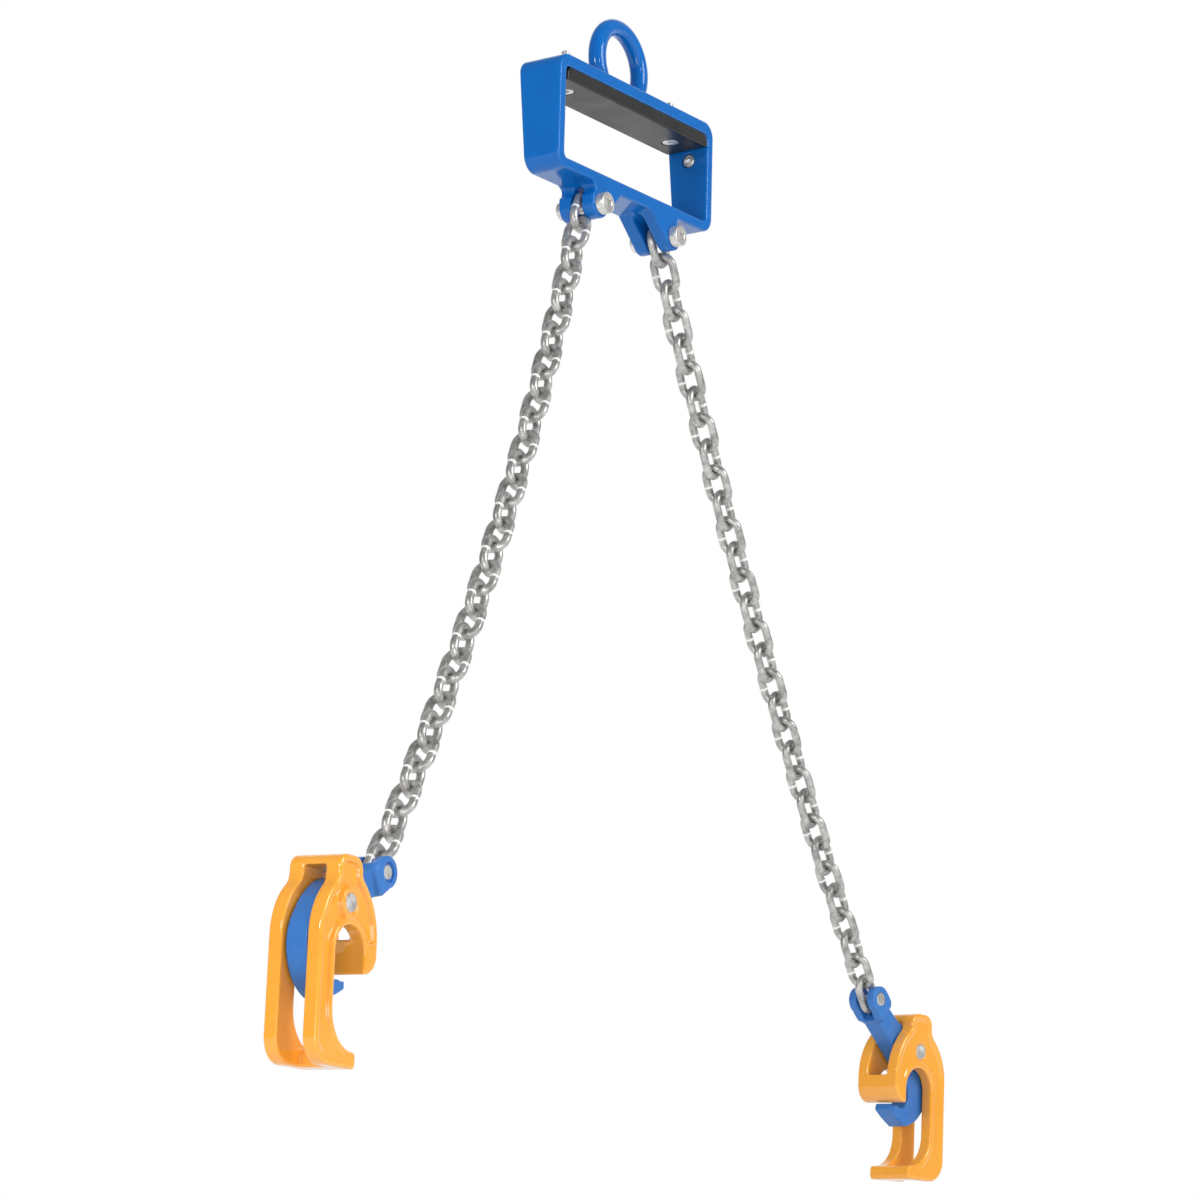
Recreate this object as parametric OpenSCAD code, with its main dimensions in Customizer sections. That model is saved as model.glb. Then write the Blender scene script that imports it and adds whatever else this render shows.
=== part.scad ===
// Drum lifter: a fork frame with a lifting eye, two slanting chains and two cam clamps.
// Millimetres. The origin is the middle of the lifting eye, +Z up, the frame's long side along X,
// a fork tine enters along Y.

/* [Fork frame] */
// Inner width of the fork window
window_w = 198; // [170:1:230]
// Inner height of the fork window
window_h = 68.5; // [55:0.5:90]
// Thickness of the top bar
top_bar = 9.5; // [7:0.5:14]
// Thickness of the side walls
side_wall = 8.5; // [6:0.5:12]
// Thickness of the bottom bar
bottom_bar = 8; // [6:0.5:12]
// Depth of the frame along the fork at its top
top_depth = 37; // [32:0.5:50]
// Depth of the frame along the fork at its bottom
bottom_depth = 30.5; // [28:0.5:44]
// Radius of the frame's outer corners
corner_r = 12; // [6:0.5:16]
// Radius of the window's corners
window_r = 4; // [1:0.5:8]

/* [Lifting eye] */
// Radius of the eye's bar centre line
eye_r = 29.4; // [24:0.2:36]
// Diameter of the eye's bar
eye_bar = 13.5; // [10:0.5:17]
// Height of the eye's centre above the frame
eye_rise = 20.5; // [16:0.5:24]

/* [Grip pad] */
// Thickness of the grip pad
pad_t = 10; // [6:0.5:14]
// Room between the pad's ends and the side walls
pad_end_gap = 1; // [0.5:0.5:4]
// Depth of the pad along the fork
pad_depth = 36; // [28:0.5:36.5]
// Distance of each pad screw from the middle
pad_screw_x = 73; // [50:1:84]
// Diameter of the pad screws
pad_screw_d = 6; // [5:0.5:8]
// Head diameter of the pad screws
pad_head_d = 12; // [10:0.5:15]
// Width across flats of the pad nuts
pad_nut_af = 10; // [9:0.5:13]
// Height of the pad nuts
pad_nut_h = 5; // [4:0.5:7]
// Diameter of the pad washers
pad_washer_d = 12.5; // [11:0.5:18]
// Thickness of the pad washers
pad_washer_t = 1.6; // [1:0.2:2.5]
// Length of pad screw that stands past its nut
pad_screw_stub = 5.2; // [1:0.1:10]

/* [Fork clamp screw] */
// Diameter of the fork clamp screw
clamp_screw_d = 8; // [6:0.5:10]
// Distance of the clamp screw below the top bar
clamp_screw_drop = 17.5; // [16:0.5:30]
// Travel of the clamp screw into the window
clamp_travel = 12; // [6:1:16]
// Width across flats of the clamp screw's lock nut
clamp_nut_af = 13; // [12:0.5:16]
// Thickness of the lock nut
lock_nut_h = 5; // [4:0.5:7]
// Width across flats of the clamp screw's socket
clamp_socket_af = 4; // [3:0.5:5]

/* [Chain lugs] */
// Distance of each lug bolt from the middle
lug_x = 51; // [44:1:60]
// Depth of the lug bolts below the window
lug_drop = 24; // [22:0.5:30]
// Radius of the lugs around their bolts
lug_r = 10.2; // [9.5:0.1:12]
// Half width of the flat underside between the lugs
arch_half = 21; // [10:1:26]
// Depth of that underside below the window
arch_drop = 10.2; // [8.5:0.1:12]
// Width of the chain slot in the lugs
lug_slot = 9.4; // [8.6:0.1:11]
// Diameter of the lug bolts
bolt_d = 10; // [8:0.1:10.2]
// Diameter of the lug bolts' heads
bolt_head_d = 16; // [13:0.5:18]
// Height of the lug bolts' heads
bolt_head_h = 7; // [5:0.5:10]
// Width across flats of the lug bolts' sockets
bolt_socket_af = 7; // [5:0.5:8]
// Diameter of the round nuts behind the lugs
bolt_nut_d = 13.5; // [12:0.5:18]
// Height of the round nuts behind the lugs
bolt_nut_h = 5; // [4:0.5:8]

/* [Chain] */
// Number of links in each chain, an odd number
links = 31; // [15:2:31]
// Diameter of the chain's wire
wire_d = 6; // [5:0.1:6.2]
// Distance from one link to the next
pitch = 21; // [20:0.1:24]
// Outer width of a link
link_w = 22.5; // [22.4:0.1:24]
// Room between two links
link_gap = 0.3; // [0.2:0.05:0.5]
// Slant of the left chain from the vertical at its top
left_slant_top = 26.1; // [10:0.1:32]
// Slant of the left chain from the vertical at its bottom
left_slant_bottom = 39.5; // [20:0.1:45]
// Lean of the left chain along Y
left_lean = -5.1; // [-8:0.1:8]
// Slant of the right chain from the vertical at its top
right_slant_top = 27.4; // [10:0.1:32]
// Slant of the right chain from the vertical at its bottom
right_slant_bottom = 37.2; // [20:0.1:45]
// Lean of the right chain along Y
right_lean = 2; // [-8:0.1:8]

/* [Cam levers] */
// Distance from a lever's pivot to its chain pin
lever_len = 61; // [56:0.5:70]
// Thickness of the neck and of the cam
cam_t = 15.5; // [13:0.5:17]
// Width of the neck
neck_w = 17; // [13:0.5:18]
// Radius of the fork's round ends
fork_r = 10.4; // [9.5:0.1:10.8]
// Width of the fork over both prongs
fork_w = 25.2; // [23:0.2:34]
// Width of the gap between the prongs
fork_gap = 10.6; // [10:0.2:12]
// Diameter of the chain pin
chain_pin_d = 8; // [7:0.1:8.5]
// Diameter of the chain pin's riveted ends
chain_rivet_d = 11; // [9:0.2:13]
// Radius of the cam's back
cam_r = 34.5; // [32:0.5:36]
// Radius of the hollow in front of the cam
cam_hollow_r = 17; // [15:0.5:18]

/* [Jaws] */
// Thickness of a jaw's side plates
plate_t = 10; // [8:0.5:13]
// Width of the slot between the side plates
jaw_slot = 18.5; // [18:0.5:22]
// Height of a jaw above its pivot
jaw_top = 30; // [29:0.5:36]
// Depth of a jaw below its pivot
jaw_drop = 102; // [98:0.5:120]
// Half width of the jaw's head
head_half = 13.5; // [11:0.5:14]
// Width of the limb behind the mouth
limb_w = 18.5; // [14:0.1:20]
// Width of the mouth
mouth_w = 34; // [31:0.2:36]
// Depth of the nose's lower end below the pivot
nose_drop = 42; // [40:0.5:42.5]
// Thickness of the lip
lip_t = 10.8; // [8:0.2:14]
// Distance of the lip's tip in front of the pivot
lip_reach = 15; // [13.5:0.5:26]
// Diameter of the pivot pin
pivot_d = 12; // [10:0.1:14]
// Height of the raised ring around the pivot pin
pivot_ring_h = 0.8; // [0.4:0.1:2]

/* [Hanging pose] */
// Turn of the left clamp about the vertical
left_yaw = -4.1; // [-6:0.1:10]
// Angle of the left lever above the horizontal
left_lever_angle = 25; // [5:0.5:36]
// Tilt of the left jaw, its lip towards its back
left_jaw_tilt = 1.2; // [-5:0.1:8]
// Turn of the right clamp about the vertical
right_yaw = 7.1; // [-6:0.1:10]
// Angle of the right lever above the horizontal
right_lever_angle = 39; // [5:0.5:42]
// Tilt of the right jaw, its lip towards its back
right_jaw_tilt = -1.1; // [-5:0.1:2]
// Sideways roll of both clamps, their far side up
clamp_roll = 2.8; // [-3:0.1:4]

/* [Hidden] */
$fn = 64;
FINE = 0.01;
BOLT_PLAY = 0.1;
RUN_PLAY = 0.06;
SEAT_PLAY = 0.7;
SOCKET_DEPTH = 3;
RIVET_DEPTH = 1.5;
FLANK_SLOPE = 25;
CAM_BEAK = [[0, 0.406], [-1.449, 0.406], [-1.449, -1.536], [-0.739, -1.652], [-0.319, -1.522],
            [-0.319, -1.493], [-0.58, -1.275], [-0.609, -0.957], [0, -0.246]];
LINKS_PER_NODE = 2;
PAIRS = ceil(links / LINKS_PER_NODE);
FRAME_BLUE = [0.04, 0.40, 0.78];
LEVER_BLUE = [0.16, 0.38, 0.70];
AMBER = [0.98, 0.66, 0.20];
STEEL = [0.72, 0.72, 0.74];
RUBBER = [0.12, 0.12, 0.13];

// Levels of the frame, measured from the middle of the eye
frame_top = -eye_rise;
window_top = frame_top - top_bar;
window_bottom = window_top - window_h;
frame_bottom = window_bottom - bottom_bar;
frame_half = window_w / 2 + side_wall;
bolt_z = window_bottom - lug_drop;
arch_z = window_bottom - arch_drop;
pad_bottom = window_top - pad_t;
clamp_z = window_top - clamp_screw_drop;
slot_spring = bolt_z + link_w / 2 + 4 * link_gap - 0.35 * lug_slot;
lug_fillet_r = (frame_bottom - bolt_z) * 0.29;

// Chain links, each with a centre, a direction and the normal of an odd link's plane
inner_len = pitch + link_gap;
crown_r = (link_w - wire_d) / 2;
first_drop = inner_len / 2 - bolt_d / 2 - link_gap;
last_drop = inner_len / 2 - chain_pin_d / 2 - SEAT_PLAY;

// Jaw outline values, measured from the pivot, u towards the mouth and w up
mouth_shift = 0.088 * mouth_w;
mouth_back = mouth_shift - mouth_w / 2;
limb_back = mouth_back - limb_w;
mouth_front = mouth_shift + mouth_w / 2;
mouth_top = -1.125 * pivot_d;
nose_front = mouth_front + 0.42 * mouth_w;
nose_top = -0.488 * nose_drop;
bar_bottom = jaw_top - 0.7 * plate_t;
lip_top = -jaw_drop + lip_t;
jaw_half = jaw_slot / 2 + plate_t;

function unit(v) = v / norm(v);
function reversed(points) = [for (i = [len(points) - 1:-1:0]) points[i]];
function slant(side, k) =
    let (top = side < 0 ? left_slant_top : right_slant_top,
         bottom = side < 0 ? left_slant_bottom : right_slant_bottom)
    top + (bottom - top) * (k - 1) / (links - 1);
function lean(side, k) = k == 1 ? 0 : side < 0 ? left_lean : right_lean;
function yaw(side) = side < 0 ? left_yaw : right_yaw;
// Direction of link k, downwards along the chain
function along(side, k) =
    let (s = slant(side, k), n = lean(side, k))
    [side * sin(s) * cos(n), sin(n), -cos(s) * cos(n)];
// Normal of link k's plane if k is odd, turning little by little to the clamp's own turn
function across(side, k) =
    let (a = yaw(side) * (k - 1) / (links - 1),
         r = clamp_roll * (k - 1) / (links - 1),
         n = [sin(a) * cos(r), cos(a) * cos(r), sin(r)],
         t = along(side, k))
    unit(n - (n * t) * t);
function first_centre(side) = [side * lug_x, 0, bolt_z] + first_drop * along(side, 1);
function link_centre(side, k) =
    k == 1 ? first_centre(side)
           : link_centre(side, k - 1) + pitch / 2 * (along(side, k - 1) + along(side, k));
function chain_end(side) = link_centre(side, links) + last_drop * along(side, links);
// Axis of a clamp's pins, the level direction from its back to its mouth, and its up direction
function pin_axis(side) =
    [sin(yaw(side)) * cos(clamp_roll), cos(yaw(side)) * cos(clamp_roll), sin(clamp_roll)];
function mouth_dir(side) = -side * [cos(yaw(side)), -sin(yaw(side)), 0];
function clamp_up(side) = cross(-side * mouth_dir(side), pin_axis(side));
function lever_angle(side) = side < 0 ? left_lever_angle : right_lever_angle;
function jaw_tilt(side) = side < 0 ? left_jaw_tilt : right_jaw_tilt;
function pivot_place(side) =
    chain_end(side)
    - lever_len * (cos(lever_angle(side)) * mouth_dir(side) + sin(lever_angle(side)) * clamp_up(side));

// Puts a shape whose local axes are x, y and z on three unit vectors at a place
module on_axes(place, x, y, z) {
    multmatrix([[x[0], y[0], z[0], place[0]],
                [x[1], y[1], z[1], place[1]],
                [x[2], y[2], z[2], place[2]],
                [0, 0, 0, 1]])
        children();
}

module rounded_rect(w, h, r) {
    square([w - 2 * r, h], center = true);
    square([w, h - 2 * r], center = true);
    for (sx = [-1, 1], sy = [-1, 1])
        translate([sx * (w / 2 - r), sy * (h / 2 - r)]) circle(r);
}

// Stands an outline drawn in x and z up on the frame, centred on y = 0
module upright(depth) {
    rotate([90, 0, 0]) linear_extrude(depth, center = true) children();
}

// A cylinder along y from y0 to y1
module along_y(d, y0, y1) {
    translate([0, y0, 0]) rotate([-90, 0, 0]) cylinder(d = d, h = y1 - y0);
}

module lug_outline(side) {
    lug_mid = side * lug_x;
    bar_middle = window_bottom - bottom_bar / 2;
    fillet_x = lug_mid + side * (lug_r + lug_fillet_r * 0.2);
    web = [[0, bar_middle], [0, arch_z], [side * arch_half, arch_z],
           [lug_mid - side * lug_r * 0.62, bolt_z - lug_r * 0.78],
           [lug_mid + side * lug_r * 0.98, bolt_z], [lug_mid + side * lug_r * 0.98, bar_middle]];
    difference() {
        union() {
            translate([lug_mid, bolt_z]) circle(lug_r);
            polygon(side > 0 ? web : reversed(web));
        }
        translate([fillet_x, frame_bottom - lug_fillet_r]) circle(lug_fillet_r);
        translate([fillet_x - (side < 0 ? 2 * lug_r : 0), bolt_z])
            square([2 * lug_r, frame_bottom - bolt_z]);
    }
}

module frame_outline() {
    difference() {
        union() {
            translate([0, (frame_top + frame_bottom) / 2])
                rounded_rect(2 * frame_half, frame_top - frame_bottom, corner_r);
            for (side = [-1, 1]) lug_outline(side);
        }
        translate([0, (window_top + window_bottom) / 2]) rounded_rect(window_w, window_h, window_r);
    }
}

// The frame seen from its end: deeper at the top, with upright faces below the window
module frame_end_outline() {
    polygon([[-top_depth / 2, frame_top], [-bottom_depth / 2, window_bottom],
             [-bottom_depth / 2, bolt_z - 2 * lug_r], [bottom_depth / 2, bolt_z - 2 * lug_r],
             [bottom_depth / 2, window_bottom], [top_depth / 2, frame_top]]);
}

module cast_frame() {
    slot_len = 2 * (lug_x - arch_half);
    color(FRAME_BLUE) difference() {
        intersection() {
            upright(2 * top_depth) frame_outline();
            rotate([90, 0, 90]) linear_extrude(3 * frame_half, center = true) frame_end_outline();
        }
        for (side = [-1, 1]) {
            translate([side * lug_x, 0, bolt_z]) along_y(bolt_d + 2 * BOLT_PLAY, -top_depth, top_depth);
            translate([side * lug_x - slot_len / 2, -lug_slot / 2, bolt_z - 2 * lug_r])
                cube([slot_len, lug_slot, slot_spring - bolt_z + 2 * lug_r]);
            translate([side * lug_x - slot_len / 2, 0, slot_spring]) rotate([0, 90, 0])
                cylinder(d = lug_slot, h = slot_len);
            translate([side * pad_screw_x, 0, window_top - 1])
                cylinder(d = pad_screw_d + 2 * BOLT_PLAY, h = top_bar + 2);
        }
        translate([window_w / 2 - 1, 0, clamp_z]) rotate([0, 90, 0])
            cylinder(d = clamp_screw_d + 2 * RUN_PLAY, h = side_wall + 2);
    }
}

module lifting_eye() {
    color(FRAME_BLUE) difference() {
        rotate([90, 0, 0]) rotate_extrude() translate([eye_r, 0]) circle(d = eye_bar);
        translate([-2 * eye_r, -eye_r, frame_top - 2 * eye_r]) cube([4 * eye_r, 2 * eye_r, 2 * eye_r]);
    }
}

module grip_pad() {
    end = window_w / 2 - pad_end_gap;
    color(RUBBER) difference() {
        upright(pad_depth)
            polygon([[-end, pad_bottom], [end, pad_bottom], [end, window_top - window_r],
                     [end - window_r, window_top], [window_r - end, window_top],
                     [-end, window_top - window_r]]);
        for (side = [-1, 1]) translate([side * pad_screw_x, 0, pad_bottom]) {
            translate([0, 0, -1]) cylinder(d = pad_screw_d + 2 * BOLT_PLAY, h = pad_t + 2);
            translate([0, 0, -FINE])
                cylinder(d1 = pad_head_d + 2 * BOLT_PLAY, d2 = pad_screw_d + 2 * BOLT_PLAY,
                         h = (pad_head_d - pad_screw_d) / 2 + BOLT_PLAY);
        }
    }
}

module pad_screws() {
    shank_end = frame_top + pad_washer_t + pad_nut_h + pad_screw_stub;
    color(STEEL) for (side = [-1, 1]) translate([side * pad_screw_x, 0, 0]) difference() {
        union() {
            translate([0, 0, pad_bottom])
                cylinder(d1 = pad_head_d, d2 = pad_screw_d, h = (pad_head_d - pad_screw_d) / 2);
            translate([0, 0, pad_bottom + FINE]) cylinder(d = pad_screw_d, h = shank_end - pad_bottom);
        }
        translate([0, 0, pad_bottom - 1]) cylinder(d = pad_screw_d * 0.72, h = 3.2, $fn = 6);
    }
}

module pad_washers() {
    color(STEEL) for (side = [-1, 1]) translate([side * pad_screw_x, 0, frame_top]) difference() {
        cylinder(d = pad_washer_d, h = pad_washer_t);
        translate([0, 0, -1]) cylinder(d = pad_screw_d + 2 * BOLT_PLAY, h = pad_washer_t + 2);
    }
}

// A hexagon nut standing on z = 0
module hex_nut(af, h, bore) {
    difference() {
        cylinder(d = af / cos(30), h = h, $fn = 6);
        translate([0, 0, -1]) cylinder(d = bore, h = h + 2);
    }
}

module pad_nuts() {
    color(STEEL) for (side = [-1, 1]) translate([side * pad_screw_x, 0, frame_top + pad_washer_t])
        hex_nut(pad_nut_af, pad_nut_h, pad_screw_d + 2 * BOLT_PLAY);
}

module fork_clamp_screw() {
    tip_r = clamp_screw_d / 2;
    end_x = frame_half + lock_nut_h + clamp_travel;
    color(STEEL) translate([0, 0, clamp_z]) rotate([0, 90, 0]) difference() {
        intersection() {
            translate([0, 0, window_w / 2]) cylinder(d = clamp_screw_d, h = end_x - window_w / 2);
            translate([0, 0, window_w / 2 + 1.5 * tip_r]) union() {
                sphere(1.5 * tip_r);
                cylinder(r = 2 * tip_r, h = end_x);
            }
        }
        translate([0, 0, end_x - SOCKET_DEPTH])
            cylinder(d = clamp_socket_af / cos(30), h = SOCKET_DEPTH + 1, $fn = 6);
    }
}

module clamp_lock_nut() {
    color(STEEL) translate([frame_half, 0, clamp_z]) rotate([0, 90, 0])
        hex_nut(clamp_nut_af, lock_nut_h, clamp_screw_d + 2 * RUN_PLAY);
}

module shackle_bolts() {
    face = bottom_depth / 2;
    color(STEEL) for (side = [-1, 1]) translate([side * lug_x, 0, bolt_z]) difference() {
        union() {
            along_y(bolt_head_d, -face - bolt_head_h, -face);
            along_y(bolt_d, -face - FINE, face + bolt_nut_h + 1);
        }
        translate([0, -face - bolt_head_h - 1, 0]) rotate([-90, 0, 0])
            cylinder(d = bolt_socket_af / cos(30), h = SOCKET_DEPTH + 1, $fn = 6);
    }
}

module shackle_nuts() {
    face = bottom_depth / 2;
    color(STEEL) for (side = [-1, 1]) translate([side * lug_x, 0, bolt_z]) difference() {
        along_y(bolt_nut_d, face, face + bolt_nut_h);
        along_y(bolt_d + 2 * BOLT_PLAY, face - 1, face + bolt_nut_h + 1);
    }
}

// One welded link in the x-z plane, long in z
module chain_link() {
    leg = inner_len / 2 + wire_d / 2 - crown_r;
    for (end = [0, 180]) rotate([0, end, 0]) {
        translate([0, 0, leg]) rotate([90, 0, 0])
            rotate_extrude(angle = 180) translate([crown_r, 0]) circle(d = wire_d);
        translate([crown_r, 0, -leg]) cylinder(d = wire_d, h = 2 * leg);
    }
}

// Link k of a chain: odd links lie in the chain's plane, even links across it
module placed_link(side, k) {
    t = along(side, k);
    b = across(side, k);
    e = cross(b, t);
    if (k % 2 == 1) on_axes(link_centre(side, k), e, b, t) chain_link();
    else on_axes(link_centre(side, k), b, -e, t) chain_link();
}

module chain_node(side, i) {
    first = LINKS_PER_NODE * (i - 1) + 1;
    color(STEEL) for (k = [first:min(links, first + LINKS_PER_NODE - 1)]) placed_link(side, k);
}

// Places a clamp shape: local x to the mouth, local y up, local z along the pins, turned by an angle
module at_pivot(side, angle) {
    m = mouth_dir(side);
    up = clamp_up(side);
    x = cos(angle) * m + sin(angle) * up;
    y = -sin(angle) * m + cos(angle) * up;
    on_axes(pivot_place(side), x, y, cross(x, y)) children();
}

// The hooked cam: a round back, a hollow front and a beak below the nose
module cam_outline() {
    difference() {
        intersection() {
            translate(cam_r * [-0.232, -0.754]) circle(cam_r);
            polygon([for (p = CAM_BEAK) cam_r * p]);
        }
        translate(cam_r * [-0.116, -0.957]) circle(cam_hollow_r);
    }
}

// A pin along z with riveted ends let into its hole
module pin_shape(d, rivet_d, length) {
    cylinder(d = d, h = length, center = true);
    for (end = [0, 180]) rotate([end, 0, 0])
        translate([0, 0, length / 2 - RIVET_DEPTH]) cylinder(d = rivet_d, h = RIVET_DEPTH);
}

module cam_lever(side) {
    hub_r = pivot_d * 7 / 6;
    shoulder = lever_len - fork_r * 1.35;
    crotch = lever_len - wire_d - chain_pin_d / 2 - SEAT_PLAY - 3;
    flank_x = lever_len - fork_r * sin(FLANK_SLOPE);
    flank_y = fork_r * cos(FLANK_SLOPE);
    color(LEVER_BLUE) at_pivot(side, lever_angle(side)) difference() {
        union() {
            linear_extrude(cam_t, center = true) {
                cam_outline();
                circle(hub_r);
                polygon([[0, -0.794 * neck_w], [shoulder + 2, -neck_w / 2],
                         [shoulder + 2, neck_w / 2], [0, 0.382 * neck_w]]);
            }
            linear_extrude(fork_w, center = true) {
                translate([lever_len, 0]) circle(fork_r);
                polygon([[shoulder, -0.7 * fork_r], [flank_x, -flank_y],
                         [flank_x, flank_y], [shoulder, 0.7 * fork_r]]);
            }
        }
        translate([0, 0, -fork_w]) cylinder(d = pivot_d + 2 * RUN_PLAY, h = 2 * fork_w);
        translate([lever_len, 0, 0]) pin_shape(chain_pin_d, chain_rivet_d, fork_w);
        translate([crotch, -2 * fork_r, -fork_gap / 2]) cube([4 * fork_r, 4 * fork_r, fork_gap]);
    }
}

module chain_pin(side) {
    color(STEEL) at_pivot(side, lever_angle(side))
        translate([lever_len, 0, 0]) pin_shape(chain_pin_d, chain_rivet_d, fork_w);
}

// The side plate's outline: head, swelling shoulders, limb, nose and lip around the mouth
module jaw_outline() {
    foot_r = jaw_drop / 6;
    lip_fillet = 0.255 * jaw_drop;
    back_r = jaw_drop / 2.4;
    front_r = 0.466 * jaw_drop;
    nose_r = 0.31 * nose_drop;
    tip_r = 0.28 * lip_t;
    arc_z = -0.524 * nose_drop;
    head_foot = jaw_top / 3;
    difference() {
        union() {
            translate([0, (jaw_top - head_foot) / 2])
                rounded_rect(2 * head_half, jaw_top + head_foot, head_half * 2 / 3);
            intersection() {
                translate([limb_back + back_r, arc_z]) circle(back_r);
                translate([nose_front - front_r, arc_z]) circle(front_r);
                translate([-jaw_drop, -nose_drop + nose_r]) square([2 * jaw_drop, jaw_drop]);
            }
            translate([limb_back, -jaw_drop + foot_r]) square([limb_w, jaw_drop - foot_r + arc_z]);
            intersection() {
                translate([limb_back + foot_r, -jaw_drop + foot_r]) circle(foot_r);
                translate([limb_back, -jaw_drop]) square(foot_r);
            }
            translate([limb_back + foot_r, -jaw_drop])
                square([lip_reach - tip_r - limb_back - foot_r, lip_t]);
            translate([lip_reach - tip_r, -jaw_drop + tip_r]) square([tip_r, lip_t - 2 * tip_r]);
            for (y = [-jaw_drop + tip_r, lip_top - tip_r])
                translate([lip_reach - tip_r, y]) circle(tip_r);
            difference() {
                translate([mouth_back - 2, lip_top - 1]) square([lip_fillet + 2, lip_fillet + 1]);
                translate([mouth_back + lip_fillet, lip_top + lip_fillet]) circle(lip_fillet);
            }
            intersection() {
                translate([nose_front - nose_r, -nose_drop + nose_r]) circle(nose_r);
                translate([mouth_front - 1, -nose_drop]) square([jaw_drop, nose_r]);
            }
            translate([mouth_front - 1, -nose_drop + nose_r])
                square([nose_front - mouth_front + 1, nose_drop - nose_r + arc_z]);
        }
        translate([mouth_shift, mouth_top - mouth_w / 2]) circle(d = mouth_w);
        translate([mouth_back, lip_top + lip_fillet])
            square([mouth_w, mouth_top - mouth_w / 2 - lip_top - lip_fillet]);
    }
}

// The slot between the two plates, which leaves a top bridge, the nose and the lip to join them
module slot_outline() {
    far = 2 * jaw_drop;
    lip_back = -lip_reach / 3;
    nose_back = mouth_front - pivot_d / 2;
    polygon([[-far, -far], [lip_back, -far], [lip_back, lip_top], [nose_back, lip_top],
             [nose_back, nose_top], [far, nose_top], [far, bar_bottom], [-far, bar_bottom]]);
}

module jaw(side) {
    color(AMBER) at_pivot(side, -jaw_tilt(side)) difference() {
        union() {
            linear_extrude(2 * jaw_half, center = true) jaw_outline();
            cylinder(d = 1.75 * pivot_d, h = 2 * (jaw_half + pivot_ring_h), center = true);
        }
        linear_extrude(jaw_slot, center = true) slot_outline();
        translate([0, 0, -2 * jaw_half]) cylinder(d = pivot_d, h = 4 * jaw_half);
    }
}

module pivot_pin(side) {
    half = jaw_half + pivot_ring_h;
    color(STEEL) at_pivot(side, -jaw_tilt(side))
        translate([0, 0, -half]) cylinder(d = pivot_d, h = 2 * half);
}

cast_frame();
lifting_eye();
grip_pad();
pad_screws();
pad_washers();
pad_nuts();
fork_clamp_screw();
clamp_lock_nut();
shackle_bolts();
shackle_nuts();
for (i = [1:PAIRS]) {
    chain_node(-1, i);
    chain_node(1, i);
}
cam_lever(-1);  // left_cam_lever
chain_pin(-1);  // left_chain_pin
jaw(-1);  // left_jaw
pivot_pin(-1);  // left_pivot_pin
cam_lever(1);  // right_cam_lever
chain_pin(1);  // right_chain_pin
jaw(1);  // right_jaw
pivot_pin(1);  // right_pivot_pin
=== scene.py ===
"""Looks of a drum lifter: a cast fork frame with an eye, two slanting chains and two cam clamps."""
import math

import bmesh
import bpy
import numpy as np
from mathutils import Matrix


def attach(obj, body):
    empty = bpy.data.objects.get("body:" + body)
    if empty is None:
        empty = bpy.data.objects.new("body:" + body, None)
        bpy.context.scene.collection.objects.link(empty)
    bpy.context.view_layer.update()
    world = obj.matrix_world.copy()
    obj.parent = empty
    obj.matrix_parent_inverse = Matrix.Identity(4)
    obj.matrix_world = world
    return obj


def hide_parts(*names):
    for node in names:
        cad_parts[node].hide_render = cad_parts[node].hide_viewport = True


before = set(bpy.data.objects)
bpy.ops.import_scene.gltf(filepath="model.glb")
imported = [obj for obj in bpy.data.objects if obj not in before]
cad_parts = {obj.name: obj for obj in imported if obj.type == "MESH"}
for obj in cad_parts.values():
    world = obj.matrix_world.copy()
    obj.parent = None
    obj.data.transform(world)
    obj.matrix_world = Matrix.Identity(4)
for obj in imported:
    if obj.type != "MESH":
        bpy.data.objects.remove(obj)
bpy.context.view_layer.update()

MM = 0.001

# Sizes of the fork frame in millimetres, from the middle of the eye
WINDOW_W, WINDOW_H = 198.0, 68.5
TOP_BAR, SIDE_WALL, BOTTOM_BAR = 9.5, 8.5, 8.0
TOP_DEPTH, BOTTOM_DEPTH = 37.0, 30.5
CORNER_R, WINDOW_R = 12.0, 4.0
EYE_R, EYE_BAR, EYE_RISE = 29.4, 13.5, 20.5
PAD_T, PAD_END_GAP, PAD_DEPTH = 10.0, 1.0, 36.0
PAD_CORNER_R, PAD_EDGE_R, PAD_SEAT_ROOM, PAD_SEAT_DEPTH, DIAGONAL = 1.0, 0.7, 0.7, 3.0, 0.7071
PAD_SCREW_X, PAD_SCREW_D, PAD_HEAD_D = 73.0, 6.0, 12.0
PAD_NUT_AF, PAD_NUT_H, PAD_STUB = 10.0, 5.0, 5.2
WASHER_D, WASHER_T = 12.5, 1.6
CLAMP_D, CLAMP_DROP, CLAMP_TRAVEL = 8.0, 17.5, 12.0
LOCK_NUT_AF, LOCK_NUT_H, CLAMP_SOCKET = 13.0, 5.0, 4.0
LUG_X, LUG_DROP, LUG_R = 51.0, 24.0, 10.2
LUG_TOE_IN, LUG_TOE_DROP, LUG_OUTER, LUG_WAIST_OUT = 0.62, 0.78, 0.98, 0.2
ARCH_HALF, ARCH_DROP, LUG_SLOT = 21.0, 10.2, 9.4
BOLT_D, BOLT_HEAD_D, BOLT_HEAD_H, BOLT_SOCKET = 10.0, 16.0, 7.0, 7.0
BOLT_NUT_D, BOLT_NUT_H = 13.5, 5.0
CAST_EDGE_R, SLOT_EDGE_R, LUG_JOIN_R, LUG_WAIST_R = 1.5, 1.2, 2.5, 1.5
TIP_BALL_R, TIP_HOLE_ROOM, TIP_HOLE_DEPTH, TIP_HOLE_EDGE_R = 2.6, 1.6, 2.5, 0.5
EYE_WELD, EYE_STEPS, EYE_SIDES = 3.0, 120, 40

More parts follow.
